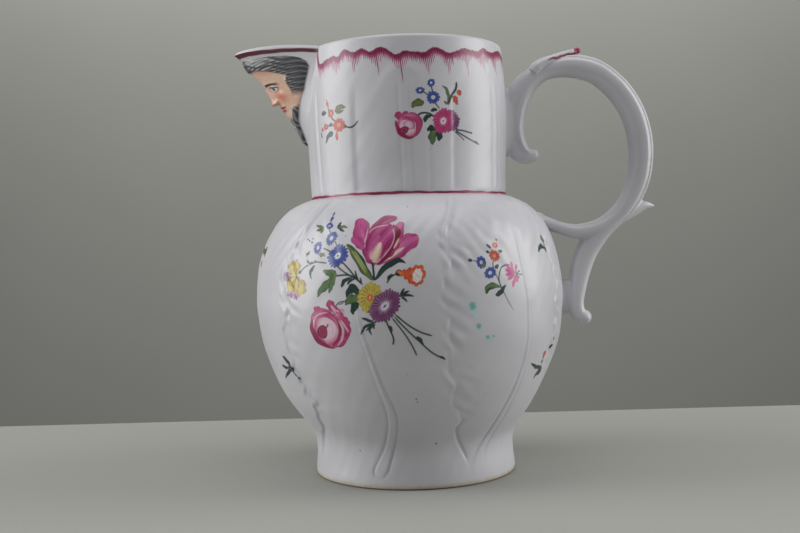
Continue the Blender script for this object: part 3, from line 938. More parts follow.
NECK_SPRIG = [
    ("line", "bottle", 0.89, [(-8.1, 4.0), (-5.5, -1.2), (-1.5, -4.3)]),
    ("line", "bottle", 0.94, [(3.0, -6.6), (8.4, -7.6), (12.5, -4.6)]),
    ("blob", "bottle", (1.29, 1.09), 0, (3.9, -6.8)),
    ("line", "bottle", 0.78, [(-11.8, -6.2), (-7.2, -5.5), (-3.1, -5.5)]),
    ("leaf", "moss", 2.93, [(-2.7, 1.2), (0.5, 3.6), (5.2, 3.3)]),
    ("leaf", "moss", 1.87, [(-2.0, 0.8), (1.2, 1.2), (3.6, 2.0)]),
    ("leaf", "bottle", 2.61, [(-13.9, 1.0), (-11.6, 1.7), (-9.4, 1.6)]),
    ("leaf", "navy", 1.98, [(-7.5, -5.9), (-6.3, -5.0), (-4.9, -4.4)]),
    ("leaf", "bottle", 2.36, [(-5.2, -8.5), (-8.8, -11.2), (-11.0, -15.0)]),
    ("leaf", "bottle", 1.5, [(-4.9, -8.7), (-5.6, -10.4), (-7.7, -11.8)]),
    ("aster", "iron", 4.49, 0.95, 0, 9, (-0.1, -5.8)),
    ("petal", "iron", 2.06, [(-1.2, -8.3), (-1.9, -10.9), (-1.6, -14.0)]),
    ("aster", "iron", 2.8, 0.9, 20, 6, (-5.8, 1.0)),
    ("petal", "iron", 1.98, [(-7.5, 3.9), (-8.3, 5.8), (-8.9, 7.6)]),
    ("blob", "iron", (0.45, 0.56), 0, (-9.0, 8.2)),
    ("aster", "iron", 2.15, 0.9, 0, 5, (-10.2, -5.9)),
    ("blob", "iron", (0.94, 1.06), 0, (-13.5, -7.1)),
    ("blob", "mauve", (0.6, 0.72), 0, (-14.9, -9.3)),
    ("blob", "mauve", (0.6, 0.72), 0, (-14.4, -10.8)),
]


# Enamel colours as the eye sees them, 0 to 255: the tint, the tone at a stroke's sides, the tone at its start, and
# how strong its streaks are.
TONES = {
    "tulip": ((194, 74, 142), (152, 28, 96), (226, 172, 198), 0.45),
    "tulip_pale": ((208, 106, 164), (166, 40, 108), (238, 220, 204), 0.45),
    "tulip_front": ((190, 70, 136), (142, 20, 82), (184, 58, 122), 0.7),
    "cream": ((238, 228, 188), (224, 150, 180), (238, 228, 188), 0.55),
    "rose": ((192, 64, 122), (152, 28, 84), (220, 140, 172), 0.3),
    "rose_pale": ((232, 196, 212), (210, 120, 166), (240, 226, 232), 0.2),
    "rose_bowl": ((232, 202, 216), (196, 66, 126), (232, 202, 216), 0.0),
    "rose_deep": ((152, 30, 78), (128, 18, 60), (172, 48, 104), 0.3),
    "crimson": ((128, 18, 52), (108, 12, 42), (144, 28, 66), 0.3),
    "magenta": ((194, 56, 122), (146, 24, 78), (212, 116, 162), 0.3),
    "pink": ((212, 90, 154), (186, 46, 116), (170, 34, 100), 0.3),
    "mauve": ((136, 72, 126), (76, 24, 68), (198, 164, 196), 0.5),
    "mauve_pale": ((190, 140, 186), (150, 86, 146), (206, 170, 200), 0.4),
    "blue": ((66, 86, 168), (34, 46, 118), (86, 106, 180), 0.3),
    "navy": ((46, 58, 112), (34, 44, 92), (60, 74, 130), 0.2),
    "yellow": ((208, 188, 78), (142, 118, 40), (224, 210, 118), 0.35),
    "orange": ((220, 96, 46), (190, 62, 24), (228, 130, 80), 0.35),
    "iron": ((204, 84, 58), (172, 54, 38), (210, 100, 72), 0.3),
    "moss_pale": ((178, 184, 124), (142, 156, 84), (160, 172, 104), 0.2),
    "moss": ((112, 126, 64), (36, 56, 38), (92, 112, 60), 0.4),
    "fern": ((94, 126, 70), (34, 64, 46), (114, 140, 80), 0.4),
    "bottle": ((28, 56, 48), (18, 40, 36), (38, 72, 56), 0.25),
    "turquoise": ((84, 176, 164), (120, 198, 188), (84, 176, 164), 0.2),
    "turquoise_pale": ((176, 214, 212), (190, 220, 220), (176, 214, 212), 0.0),
    "brown": ((74, 54, 48), (92, 70, 60), (74, 54, 48), 0.0),
}
# For open flowers, the eye and what is drawn in it.
FLOWER_EYES = {
    "magenta": ((238, 216, 226), (160, 40, 96)),
    "mauve": ((226, 214, 226), (70, 30, 74)),
    "blue": ((232, 236, 240), (60, 70, 120)),
    "yellow": ((206, 96, 56), (228, 206, 110)),
    "orange": ((238, 230, 228), (206, 110, 80)),
    "iron": ((226, 168, 126), (170, 60, 42)),
}


def linear(colour):
    """A colour of 0 to 255 as light."""
    c = np.asarray(colour, float) / 255.0
    return np.where(c <= 0.04045, c / 12.92, ((c + 0.055) / 1.055) ** 2.4)


def shade(dark, light, share):
    """Two colours of 0 to 255 mixed by shares, as light."""
    return mix(linear(dark), linear(light), share[..., None])


class Canvas:
    """
    Enamel over a part of the glaze: for each point of a grid, u to the right and v up along the skin, the colour
    that is laid there and how far it covers the glaze.
    """

    def __init__(self, u, v):
        self.u, self.v = u, v
        self.colour = np.full((len(v), len(u), 3), 0.7)
        self.cover = np.zeros((len(v), len(u)))

    def window(self, points, margin):
        """The part of the grid round some points, and its u and v."""
        low, high = np.min(points, axis=0) - margin, np.max(points, axis=0) + margin
        columns = slice(*np.searchsorted(self.u, [low[0], high[0]]))
        rows = slice(*np.searchsorted(self.v, [low[1], high[1]]))
        u, v = np.meshgrid(self.u[columns], self.v[rows])
        return (rows, columns), u, v

    def lay(self, where, mask, colour):
        """Lays a colour over what is there, as far as the mask covers it."""
        under = self.cover[where] * (1 - mask)
        total = under + mask
        paint = self.colour[where] * under[..., None] + colour * mask[..., None]
        paint = paint / np.maximum(total, 1e-4)[..., None]
        self.colour[where] = np.where(total[..., None] > 1e-4, paint, self.colour[where])
        self.cover[where] = total


WHOLE = (slice(None), slice(None))
CANVAS_STEP = 0.3


def canvas_of(low, high, step=(CANVAS_STEP, CANVAS_STEP)):
    """A canvas from one corner to the other, in millimetres, with a point at every step."""
    return Canvas(*(np.arange(a, b + s, s) for a, b, s in zip(low, high, step)))


# The kinds of stroke, each with its width from start to end as a share of the full width.
STROKES = {
    "line": lambda t: np.minimum(1.0, 0.3 + 7.0 * np.minimum(t, 1 - t)),
    "leaf": lambda t: np.sin(math.pi * t**0.85) ** 0.85,
    "petal": lambda t: np.sin(math.pi * np.clip(t, 0, 1) ** 1.6) ** 0.6,
    "flare": lambda t: 0.22 + 0.78 * t**1.5,
    "sheen": lambda t: np.sin(math.pi * t) ** 0.7,
}


def brush(canvas, kind, tone, width, path):
    """
    One stroke along a curve. Each point of the canvas takes its place along the curve from the nearest of the
    curve's points, and its distance to the side. The stroke goes from the tone's start to its tint, and to its
    edge at the sides, with fine streaks along it. A sheen fades out to its sides over what lies under it.
    """
    tint, edge, start = linear(TONES[tone][:3])
    streak = TONES[tone][3]
    t = np.linspace(0, 1, 80)
    curve = spline(path, t)
    along = unit(np.gradient(curve, axis=0))
    where, u, v = canvas.window(curve, width / 2 + 0.8)
    gap = (u[..., None] - curve[:, 0]) ** 2 + (v[..., None] - curve[:, 1]) ** 2
    near = gap.argmin(axis=-1)
    reach = np.sqrt(gap.min(axis=-1))
    side = along[near, 0] * (v - curve[near, 1]) - along[near, 1] * (u - curve[near, 0])
    half = width / 2 * STROKES[kind](t)[near]
    wobble = 0.05 * width * np.sin(t[near] * 19 + 3 * path[0][0]) * np.sign(side)
    if kind == "sheen":
        mask = 0.85 * ease(half + 0.1, 0.25 * half, reach)
    else:
        mask = ease(half + 0.2, half - 0.2, reach + wobble * (width > 1.5)) * np.clip(half / 0.16, 0, 1)
    share = np.clip(np.abs(side) / np.maximum(half, 0.1), 0, 1)
    colour = mix(tint, edge, (share**2.2)[..., None])
    colour = mix(colour, start, (ease(0.5, 0.0, t[near]) * (1 - share**2))[..., None] * (width > 1.2))
    lines = 0.5 + 0.5 * np.sin(side / max(width, 1.2) * 46 + 4 * t[near] + path[0][1] + 1.5 * np.sin(side * 2.3))
    colour = mix(colour, edge, (streak * lines**2 * ease(0.0, 0.25, t[near]))[..., None])
    canvas.lay(where, mask, colour)


def turned(canvas, at, size, tilt):
    """The canvas round a place, in shares of an oval that is turned by a tilt in degrees."""
    where, u, v = canvas.window([at], max(size) * 1.25 + 0.6)
    c, s = math.cos(math.radians(tilt)), math.sin(math.radians(tilt))
    x, y = u - at[0], v - at[1]
    return where, (x * c + y * s) / size[0], (y * c - x * s) / size[1]


def throat_dashes(x, y):
    """Short dashes in the throat of a flower."""
    return 0.8 * ease(0.4, 0.8, np.sin(x * 19 + y * 5) * np.sin(y * 11 + x * 3)) * ease(0.46, 0.32, np.hypot(x, y))


# Open flowers: the eye's share of the radius, how far the petals part at their tips, how deep the rim dips between
# them, where their dark lines end, and the drawing in the eye. An aster has narrow, parted petals; an anemone is
# full, with a shallow scalloped rim; a bloom is a trumpet from the front, a few wide lobes round a pale throat.
FLOWERS = {
    "aster": (0.25, 0.7, 0.18, 1.2, lambda x, y: ease(0.13, 0.05, np.hypot(x, y))),
    "anemone": (0.24, 0.0, 0.12, 0.62, lambda x, y: ease(0.15, 0.06, np.hypot(x, y * 1.8))),
    "bloom": (0.55, 0.0, 0.2, 0.8, throat_dashes),
}


def flower(canvas, kind, tone, size, squash, tilt, petals, at):
    """
    An open flower: round its eye, petals as a wave of the angle, each with its own length and shade, dark along
    the lines between them.
    """
    core, gap, notch, fade, drawing = FLOWERS[kind]
    tint, edge, start = linear(TONES[tone][:3])
    eye, pupil = linear(FLOWER_EYES[tone])
    where, x, y = turned(canvas, at, (size, size * squash), tilt)
    r = np.hypot(x, y)
    turn = np.arctan2(y, x) / (2 * math.pi) * petals + 0.1 * np.sin(r * 9 + at[0])
    wave = np.abs(turn % 1.0 - 0.5) * 2.0
    own = np.abs(np.sin(7.1 * np.floor(turn % petals) + at[0]))
    rim = (1.0 - 0.12 * own) * (1 - notch * wave**3)
    soft = 0.22 / size
    mask = ease(rim + soft, rim - soft, r) * (1 - gap * ease(0.72, 0.95, wave) * ease(0.6, 0.85, r))
    lines = ease(0.45, 0.95, wave) * ease(core * 0.9, core + 0.1, r) * ease(fade + 0.2, fade - 0.1, r)
    colour = mix(tint, start, (0.75 * ease(core + 0.3, core, r))[..., None])
    colour = mix(colour, edge, np.clip(0.3 * own + 0.85 * lines + 0.45 * ease(0.72, 1.0, r), 0, 1)[..., None])
    lit = ease(0.35, 0.05, wave) * ease(core, core + 0.15, r) * ease(1.0, 0.8, r) * ease(0.0, 0.5, y)
    colour = mix(colour, start, (0.6 * lit)[..., None])
    colour = mix(colour, eye, ease(core + 0.06, core - 0.06, r + 0.04 * np.sin(turn * 6.28))[..., None])
    canvas.lay(where, mask, mix(colour, pupil, drawing(x, y)[..., None]))


def blob(canvas, tone, size, tilt, at):
    """A touch of the brush: an oval that is darker at its edge."""
    tint, edge = TONES[tone][:2]
    where, x, y = turned(canvas, at, size, tilt)
    r = np.hypot(x, y) * (1 + 0.05 * np.sin(3 * np.arctan2(y, x) + at[0]))
    soft = 0.2 / min(size)
    canvas.lay(where, ease(1 + soft, 1 - soft, r), shade(tint, edge, ease(0.45, 1.0, r)))


def ring(canvas, tone, size, tilt, at):
    """A thin oval line."""
    where, x, y = turned(canvas, at, size, tilt)
    r = np.abs(np.hypot(x, y) - 1) * min(size)
    canvas.lay(where, 0.85 * ease(0.42, 0.1, r), linear(TONES[tone][0]))


def wash(canvas, tone, size, tilt, at):
    """A thin smear that fades out unevenly."""
    tint, edge = TONES[tone][:2]
    where, x, y = turned(canvas, at, size, tilt)
    r = np.hypot(x, y) + 0.16 * ripple(2.2 * x, 2.2 * y, at[0])
    canvas.lay(where, 0.85 * ease(1.15, 0.45, r), shade(tint, edge, ease(0.2, 1.0, r)))


TOUCHES = {"blob": blob, "ring": ring, "wash": wash}


def painted(low, high, spray):
    """A canvas with a spray on it, one stroke after another."""
    canvas = canvas_of(low, high)
    for kind, *rest in spray:
        if kind in TOUCHES:
            TOUCHES[kind](canvas, *rest)
        else:
            (flower if kind in FLOWERS else brush)(canvas, kind, *rest)
    return canvas


def mirrored(spray):
    """A spray turned left to right: each place changes its side, and each tilt its sign."""
    turned_round = []
    for kind, *rest in spray:
        if kind in STROKES:
            rest[-1] = [(-u, v) for u, v in rest[-1]]
        else:
            tilt = 3 if kind in FLOWERS else 2
            rest[tilt] = -rest[tilt]
            rest[-1] = (-rest[-1][0], rest[-1][1])
        turned_round.append((kind, *rest))
    return turned_round


def on_belly(middle):
    """Places a canvas on the belly: u along the skin from an azimuth, v along the outline from its widest place."""
    def place(u, v, lift):
        arc = arc_at(BELLY_HEIGHT) + v
        return belly_point(middle + np.degrees(u / belly_place(arc)[0]), arc, lift)
    return place


NECK_DATUM = 200.0


def on_neck(middle):
    """Places a canvas on the neck: u along the skin from an azimuth, v up from the neck's datum."""
    def place(u, v, lift):
        height = NECK_DATUM + v
        return neck_point(middle + np.degrees(u / neck_radius(height)), height, lift)
    return place


def spread(cover, rounds):
    """A cover softened outwards: each round, every point becomes the mean of itself and its eight neighbours."""
    for _ in range(rounds):
        padded = np.pad(cover, 1)
        rows = (padded[:-2] + padded[1:-1] + padded[2:]) / 3.0
        cover = (rows[:, :-2] + rows[:, 1:-1] + rows[:, 2:]) / 3.0
    return cover


def skin_normals(place, u, v):
    """The skin's outward normals at points of a canvas: the cross product of its two small steps."""
    step = 0.05
    zero = np.zeros(len(u))
    right = place(u + step, v, zero) - place(u - step, v, zero)
    up = place(u, v + step, zero) - place(u, v - step, zero)
    return unit(np.cross(right, up))


# The enamel's height over the glaze, where it sinks into it round the paint, and its underside.
ENAMEL_LIFT, ENAMEL_SUNK, ENAMEL_UNDER = 0.13, -0.05, -0.16
LEAST_COVER = 0.05


def enamel_piece(name, canvas, place):
    """
    The painted part of a canvas as a thin closed shell on the glaze: the squares that carry paint, with squares
    that touch only at a corner filled up to a block, the same squares just under the skin facing in, and a wall
    along every open edge. The shell sinks into the glaze round the paint and is shaded with the skin's own normals,
    so that it shows no edge.
    """
    rows, columns = canvas.cover.shape
    at = np.arange(rows * columns).reshape(rows, columns)
    quads = squares(at)
    cover, around = canvas.cover.ravel(), spread(np.minimum(canvas.cover, 1.0), 2).ravel()
    kept = np.maximum(cover, around)[quads].max(axis=1).reshape(rows - 1, columns - 1) > LEAST_COVER
    for _ in range(4):
        a, b, c, d = kept[:-1, :-1], kept[:-1, 1:], kept[1:, :-1], kept[1:, 1:]
        pinch = np.pad((a == d) & (b == c) & (a != b), 1)
        kept = kept | pinch[:-1, :-1] | pinch[:-1, 1:] | pinch[1:, :-1] | pinch[1:, 1:]
    quads = quads[kept.ravel()]
    used, quads = np.unique(quads, return_inverse=True)
    quads = quads.reshape(-1, 4)
    u, v = np.meshgrid(canvas.u, canvas.v)
    u, v, cover, around = u.ravel()[used], v.ravel()[used], cover[used], around[used]
    top = place(u, v, mix(ENAMEL_SUNK, ENAMEL_LIFT, ease(0.02, 0.3, around)))
    low = place(u, v, np.full(len(u), ENAMEL_UNDER))
    n = len(used)
    sides = np.stack([quads, np.roll(quads, -1, axis=1)], axis=-1).reshape(-1, 2)
    code = sides[:, 0] * n + sides[:, 1]
    open_sides = sides[~np.isin(code, sides[:, 1] * n + sides[:, 0])]
    walls = np.stack([open_sides[:, 1], open_sides[:, 0], open_sides[:, 0] + n, open_sides[:, 1] + n], axis=1)
    mesh = mesh_of(name, np.vstack([top, low]), np.vstack([quads, quads[:, ::-1] + n, walls]))
    normals = skin_normals(place, u, v)
    mesh.normals_split_custom_set_from_vertices(np.vstack([normals, -normals]))
    colour = canvas.colour.reshape(-1, 3)[used]
    enamel_of(mesh, np.vstack([colour, colour]), np.concatenate([cover, cover]))
    add_piece(name, mesh, enamel, "rose_enamel")


# The border's line on the near side, in millimetres along the skin from the handle and up from the neck's datum, and
# its tassels: where they hang and how long they are. It ends beside the spout, at an azimuth from the handle.
BORDER_END, BORDER_RADIUS = 149.4, 56.0
BORDER = [
    (-146.6, 30.4), (-142.0, 28.4), (-134.0, 30.0), (-130.0, 30.7), (-126.8, 29.8), (-121.6, 33.2), (-116.4, 31.0),
    (-111.2, 32.3), (-106.4, 30.4), (-99.4, 32.0), (-93.4, 28.1), (-87.6, 29.8), (-83.2, 29.2), (-77.8, 28.6),
    (-72.0, 31.6), (-64.9, 29.0), (-55.3, 31.5), (-49.5, 31.3), (-45.1, 30.7), (-39.3, 33.6), (-33.4, 31.9),
    (-25.0, 33.6), (-17.6, 34.2), (-9.0, 32.4), (0.0, 33.8),
]
TASSELS = [
    (-143.6, 7.0), (-129.8, 8.0), (-117.4, 9.5), (-103.4, 9.5), (-91.2, 12.0), (-77.0, 9.5), (-65.4, 11.0),
    (-53.6, 12.5), (-40.6, 13.5), (-29.2, 10.0), (-13.8, 10.0), (-3.6, 8.0),
]


def rim_border():
    """
    The feathered border under the rim, on the whole neck but the spout: a thick wavy line of uneven arches, below
    it a comb of fine hairs, and along it tassels of long ones. The far side mirrors the near one.
    """
    half = math.radians(BORDER_END) * BORDER_RADIUS
    canvas = canvas_of((-half, 12.0), (half, 38.6), (0.24, 0.4))
    u, v = np.meshgrid(canvas.u, canvas.v)
    near = -np.abs(u)
    course = spline(BORDER, np.linspace(0, 1, 900))
    middle = np.interp(near, course[:, 0], course[:, 1]) + 0.12 * np.sin(u * 0.9) + 0.1 * np.sin(u * 2.3)
    thick = 1.0 + 0.2 * np.sin(u * 0.55 + 1) + 0.15 * np.sin(u * 0.23)
    places, depths = np.array(TASSELS).T
    gaps = np.abs(near[..., None] - places)
    dip, nearest = gaps.min(axis=-1), gaps.argmin(axis=-1)
    line = ease(thick + 0.25, thick - 0.2, np.abs(v - middle))
    pitch = 1.02
    hair = np.floor(u / pitch)
    jitter = np.abs(np.sin(hair * 12.9898) * 43758.5453) % 1.0
    strand = 0.5 + 0.5 * np.cos(2 * math.pi * (u / pitch - 0.5))
    comb = 3.4 + 2.3 * jitter
    tassel = 0.55 * np.clip(1 - dip / (4.4 + 0.7 * np.sin(nearest * 1.7)), 0, 1) * mix(0.75, 1.0, jitter)
    tassel = depths[nearest] * (tassel + 0.45 * np.clip(1.2 - dip / 0.9, 0, 1))
    length = comb + tassel
    drop = middle - v
    share = np.clip(drop / length, 0, 1)
    hairs = ease(1.0, 0.7, share) * ease(mix(0.0, 0.5, share), mix(0.3, 0.85, share), strand)
    body = 0.9 * ease(2.9 + 0.9 * jitter, 1.7, drop)
    fringe = np.where(drop > 0, np.maximum(hairs, body), 0)
    tone = np.clip(1.4 * share - 0.3 * strand, 0, 1)
    canvas.lay(WHOLE, fringe, shade((146, 28, 84), (186, 66, 132), tone))
    tone = 0.5 + 0.3 * np.sin(u * 1.7 + 2 * np.sin(v)) + 0.2 * np.sin(u * 4.1)
    canvas.lay(WHOLE, line, shade((114, 16, 50), (150, 32, 80), tone))
    corner = ease(2.4, 1.8, half - np.abs(u)) * ease(28.0, 29.0, v)
    canvas.lay(WHOLE, corner, linear((128, 18, 58)))
    return canvas


def neck_line():
    """The single crimson line where the neck meets the shoulder, drawn by hand all the way round."""
    half = math.pi * NECK_RADIUS
    canvas = canvas_of((-half, -45.6), (half, -41.0))
    u, v = np.meshgrid(canvas.u, canvas.v)
    turn = u / half * math.pi
    middle = -43.3 + 0.2 * np.sin(3 * turn + 1) + 0.12 * np.sin(11 * turn) + 0.08 * np.sin(37 * turn)
    thick = 0.66 + 0.1 * np.sin(7 * turn + 2) + 0.08 * np.sin(29 * turn)
    mask = ease(thick + 0.25, thick - 0.15, np.abs(v - middle))
    canvas.lay(WHOLE, mask, shade((158, 30, 76), (132, 20, 60), 0.5 + 0.5 * np.sin(19 * turn)))
    return canvas


def lip_line():
    """The dark crimson line just below the lip; its canvas is in shares of the spout, across it and up to the lip."""
    canvas = Canvas(np.linspace(-0.995, 0.995, 420), np.linspace(0.955, 1.0, 12))
    u, v = np.meshgrid(canvas.u, canvas.v)
    middle = 0.978 + 0.0025 * np.sin(u * 9) + 0.0012 * np.sin(u * 31)
    thick = 0.0195 + 0.002 * np.sin(u * 5 + 1)
    canvas.lay(WHOLE, ease(thick + 0.005, thick - 0.003, np.abs(v - middle)), linear((92, 6, 38)))
    return canvas


def mask_paint():
    """
    The mask's enamels at each of its points: flesh with warm cheeks, red lips, dark brows, grey eyes, and
    black-grey hair and beard with lighter strands.
    """
    across, up, s = mask_grid()
    q, p = face_place(across, up)
    side = np.abs(q)
    colour = shade((232, 200, 180), (226, 178, 150), 0.5 + 0.3 * ripple(q * 3, p * 7, 0.4))

    def touch(mask, tone):
        return mix(colour, linear(tone), np.clip(mask, 0, 1)[..., None])

    colour = touch(0.75 * hump(p - 0.42, 0.1) * hump(side - 0.52, 0.24), (218, 108, 72))
    colour = touch(0.55 * hump(p - 0.37, 0.05) * hump(q, 0.16), (214, 112, 80))
    colour = touch(0.4 * hump(p - 0.9, 0.07) * hump(side - 0.55, 0.25), (220, 140, 100))
    colour = touch(0.35 * hump(p - EYES, 0.06) * hump(side - EYE_SIDE, 0.2), (206, 150, 130))
    eye = np.hypot((side - EYE_SIDE) / 0.16, (p - EYES) / 0.042)
    colour = touch(ease(1.08, 0.9, eye), (228, 226, 226))
    iris = np.hypot((side - EYE_SIDE) / 0.075, (p - EYES - 0.004) / 0.04)
    colour = touch(ease(1.1, 0.85, iris) * ease(1.05, 0.9, eye), (104, 122, 140))
    colour = touch(ease(0.55, 0.35, iris), (26, 24, 28))
    lash = np.abs(p - EYES - 0.044 + 0.85 * (side - EYE_SIDE) ** 2)
    colour = touch(ease(0.016, 0.006, lash) * ease(0.24, 0.16, np.abs(side - EYE_SIDE)), (52, 38, 36))
    brow = np.abs(p - BROW - 0.016 + 0.12 * (side - 0.38) ** 2)
    colour = touch(ease(0.03, 0.012, brow) * ease(0.78, 0.62, side) * ease(0.1, 0.2, side), (48, 40, 40))
    lips = ease(0.075, 0.045, np.abs(p - MOUTH + 0.01)) * ease(0.4, 0.28, side + 1.2 * np.abs(p - MOUTH))
    colour = touch(0.85 * lips, (196, 84, 72))
    colour = touch(ease(0.013, 0.004, np.abs(p - MOUTH - 0.006)) * ease(0.4, 0.3, side), (128, 44, 42))
    pale = 0.7 * ease(0.16, 0.02, np.abs(p - 0.06)) * ease(0.2, 0.5, side)
    colour = touch(pale, (226, 216, 214))
    hair, beard = hair_share(q, p), beard_share(q, p)
    strand = 0.5 + 0.5 * np.sin(p * 62 + 7 * side + 1.6 * np.sin(q * 9) + 0.8)
    fine = 0.5 + 0.5 * np.sin(p * 173 + q * 31)
    grey = shade((58, 58, 62), (150, 150, 154), 0.75 * strand**2 * (0.5 + 0.5 * fine))
    colour = mix(colour, grey, hair[..., None])
    lock = 0.5 + 0.5 * np.sin(q * 34 + 2.4 * np.sin(p * 17) + 0.8)
    wisps = shade((50, 50, 54), (168, 168, 172), 0.75 * lock**2)
    colour = mix(colour, wisps, beard[..., None])
    cover = ease(1.0, 0.975, np.abs(s)) * ease(MASK_FOOT, 0.05, up) * ease(MASK_TOP, 0.928, up)
    colour, cover = (np.concatenate([front, front[:, ::-1]], axis=1) for front in (colour, cover))
    return colour.reshape(-1, 3), cover.ravel()


# The handle's bars in the XZ plane, as rows of X, Z, half thickness and half width: the strap from its curl at the
# neck, round the loop and down to the shoulder, the strut below it, the spur, the thumb leaf, and the clay that holds
# the curl to the neck and the strut to the belly.
STRAP = [
    (72.6, 178.6, 3.3, 7.0), (68.8, 178.3, 4.4, 7.4), (65.0, 180.6, 5.6, 7.8), (62.2, 186.2, 6.1, 8.2),
    (61.2, 193.2, 6.1, 8.5), (62.0, 202.2, 6.4, 8.7), (64.2, 211.7, 7.3, 8.8), (69.9, 220.4, 6.4, 8.9),
    (79.8, 226.8, 5.2, 9.2), (91.6, 229.3, 6.1, 9.8), (102.6, 228.0, 6.5, 10.0), (112.2, 223.8, 6.5, 10.0),
    (123.0, 213.6, 6.6, 10.0), (130.9, 199.4, 6.6, 10.0), (134.4, 182.0, 6.6, 9.8), (132.4, 163.4, 6.3, 9.5),
    (124.4, 147.4, 5.6, 9.1), (112.4, 137.6, 4.9, 8.7), (99.2, 134.2, 4.4, 8.3), (90.0, 135.6, 3.6, 8.0),
    (81.6, 138.4, 3.5, 8.0), (71.0, 142.5, 4.4, 9.4),
]
STRUT = [
    (126.0, 145.5, 3.0, 6.0), (119.8, 140.8, 4.0, 7.0), (112.5, 135.4, 5.0, 7.6), (106.2, 129.0, 6.0, 7.4),
    (101.5, 121.6, 6.1, 7.1), (98.2, 112.0, 5.6, 7.0), (96.1, 101.6, 4.8, 7.0), (95.1, 93.4, 4.3, 7.0),
    (96.2, 87.2, 4.2, 7.0), (99.6, 84.6, 4.1, 7.0),
]
SPUR = [
    (116.5, 139.6, 3.4, 6.5), (123.2, 142.8, 4.2, 6.6), (129.6, 146.2, 4.2, 5.6), (134.6, 147.9, 3.1, 4.0),
    (138.6, 148.1, 1.8, 2.2), (141.6, 147.8, 0.5, 0.6),
]
LEAF = [
    (72.9, 225.3, 3.7, 10.2), (75.1, 227.9, 3.9, 10.7), (77.9, 229.9, 3.7, 10.4), (82.0, 231.7, 3.2, 9.8),
    (86.0, 233.7, 2.4, 8.6), (90.7, 235.4, 2.0, 6.6), (95.4, 236.8, 1.8, 4.8), (98.2, 237.6, 1.7, 3.4),
]
WEB = [
    (50.0, 198.0, 20.0, 9.6), (54.5, 198.0, 20.0, 8.7), (58.0, 198.0, 19.6, 7.6), (63.0, 198.0, 18.4, 7.0),
]
PAD = [
    (82.0, 97.0, 12.5, 7.0), (86.0, 97.0, 11.2, 5.6), (89.5, 97.0, 9.8, 4.6), (94.0, 97.0, 9.8, 4.8),
]
CAP_ROWS = 7
HANDLE_VOXEL, HANDLE_RELAX = 0.53, 4


def bar_skin(bar, rows, section, cap=0.9):
    """
    A bar along its line: at each share of it a closed section in the line's normal and Y. Its ends close as domes,
    as long as the cap's share of the last thickness.
    """
    bar = np.array(bar)
    share = np.linspace(0, 1, rows)
    centre = spline(bar[:, :2], share)
    step = unit(np.gradient(centre, axis=0))
    out = np.stack([-step[:, 1], step[:, 0]], axis=1)
    bend = np.linspace(1, 0, CAP_ROWS + 1)[:-1]
    first = centre[0] - step[0] * cap * bar[0, 2] * bend[:, None]
    last = centre[-1] + step[-1] * cap * bar[-1, 2] * bend[::-1, None]
    ends = np.sqrt(1 - bend**2 * 0.999)
    round_off = np.concatenate([ends, np.ones(rows), ends[::-1]])
    centre = np.vstack([first, centre, last])[:, None]
    out = np.pad(out, ((CAP_ROWS, CAP_ROWS), (0, 0)), mode="edge")[:, None]
    share = np.pad(share, CAP_ROWS, mode="edge")
    n, y = np.moveaxis(section(share) * (spline(bar[:, 2:], share) * round_off[:, None])[:, None], -1, 0)
    rings = np.stack([centre[..., 0] + out[..., 0] * n, y, centre[..., 1] + out[..., 1] * n], axis=-1)
    return ring_skin(rings, mid_ends(rings))


def pressed(wave, power):
    """A wave with its size raised to a power and its sign kept."""
    return np.sign(wave) * np.abs(wave) ** power


def strap_section(share):
    """
    The strap's outline: a flattened oval, with a fine furrow along each flank near its outer edge on the loop,
    and near its inner edge on the curl, where the flank falls back towards the neck.
    """
    phi = angles(96)
    out, side = pressed(np.cos(phi), 0.8), pressed(np.sin(phi), 0.8)
    loop = (ease(0.36, 0.46, share) * ease(0.86, 0.76, share))[:, None]
    curl = (ease(0.36, 0.24, share) * ease(0.02, 0.1, share))[:, None]
    furrow = 0.2 * loop * hump(out - 0.6, 0.11)
    furrow = furrow + curl * (0.06 * hump(out + 0.2, 0.16) + 0.19 * ease(-0.4, -0.14, out))
    crest = 0.08 * loop * ease(0.4, 0.1, np.abs(side)) * (np.cos(phi) > 0)
    return np.stack([out[None] + crest, side[None] * (1 - furrow)], axis=-1)


def oval_section(count, power):
    """An oval outline, pressed towards a rounded rectangle by a power below 1."""
    phi = angles(count)
    outline = np.stack([pressed(np.cos(phi), power), pressed(np.sin(phi), power)], axis=-1)
    return lambda share: np.broadcast_to(outline, (len(share), count, 2))


OVAL, SQUARED = oval_section(56, 1.0), oval_section(64, 0.75)


def ball_skin(centre, radii):
    """A ball with its own radius along each axis."""
    polar = np.linspace(0, math.pi, 28)[1:-1, None]
    turn = angles(48)[None, :]
    ball = stacked(np.sin(polar) * np.cos(turn), np.cos(polar), np.sin(polar) * np.sin(turn))
    poles = np.array([[0, 1.0, 0], [0, -1.0, 0]])
    return ring_skin(np.asarray(centre) + ball * radii, np.asarray(centre) + poles * radii)


def joined(skins):
    """Several closed skins as one set of points, quads and triangles."""
    base = np.cumsum([0] + [len(p) for p, _, _ in skins])
    return (
        np.vstack([p for p, _, _ in skins]),
        np.vstack([q + b for (_, q, _), b in zip(skins, base)]),
        np.vstack([t + b for (_, _, t), b in zip(skins, base)]),
    )


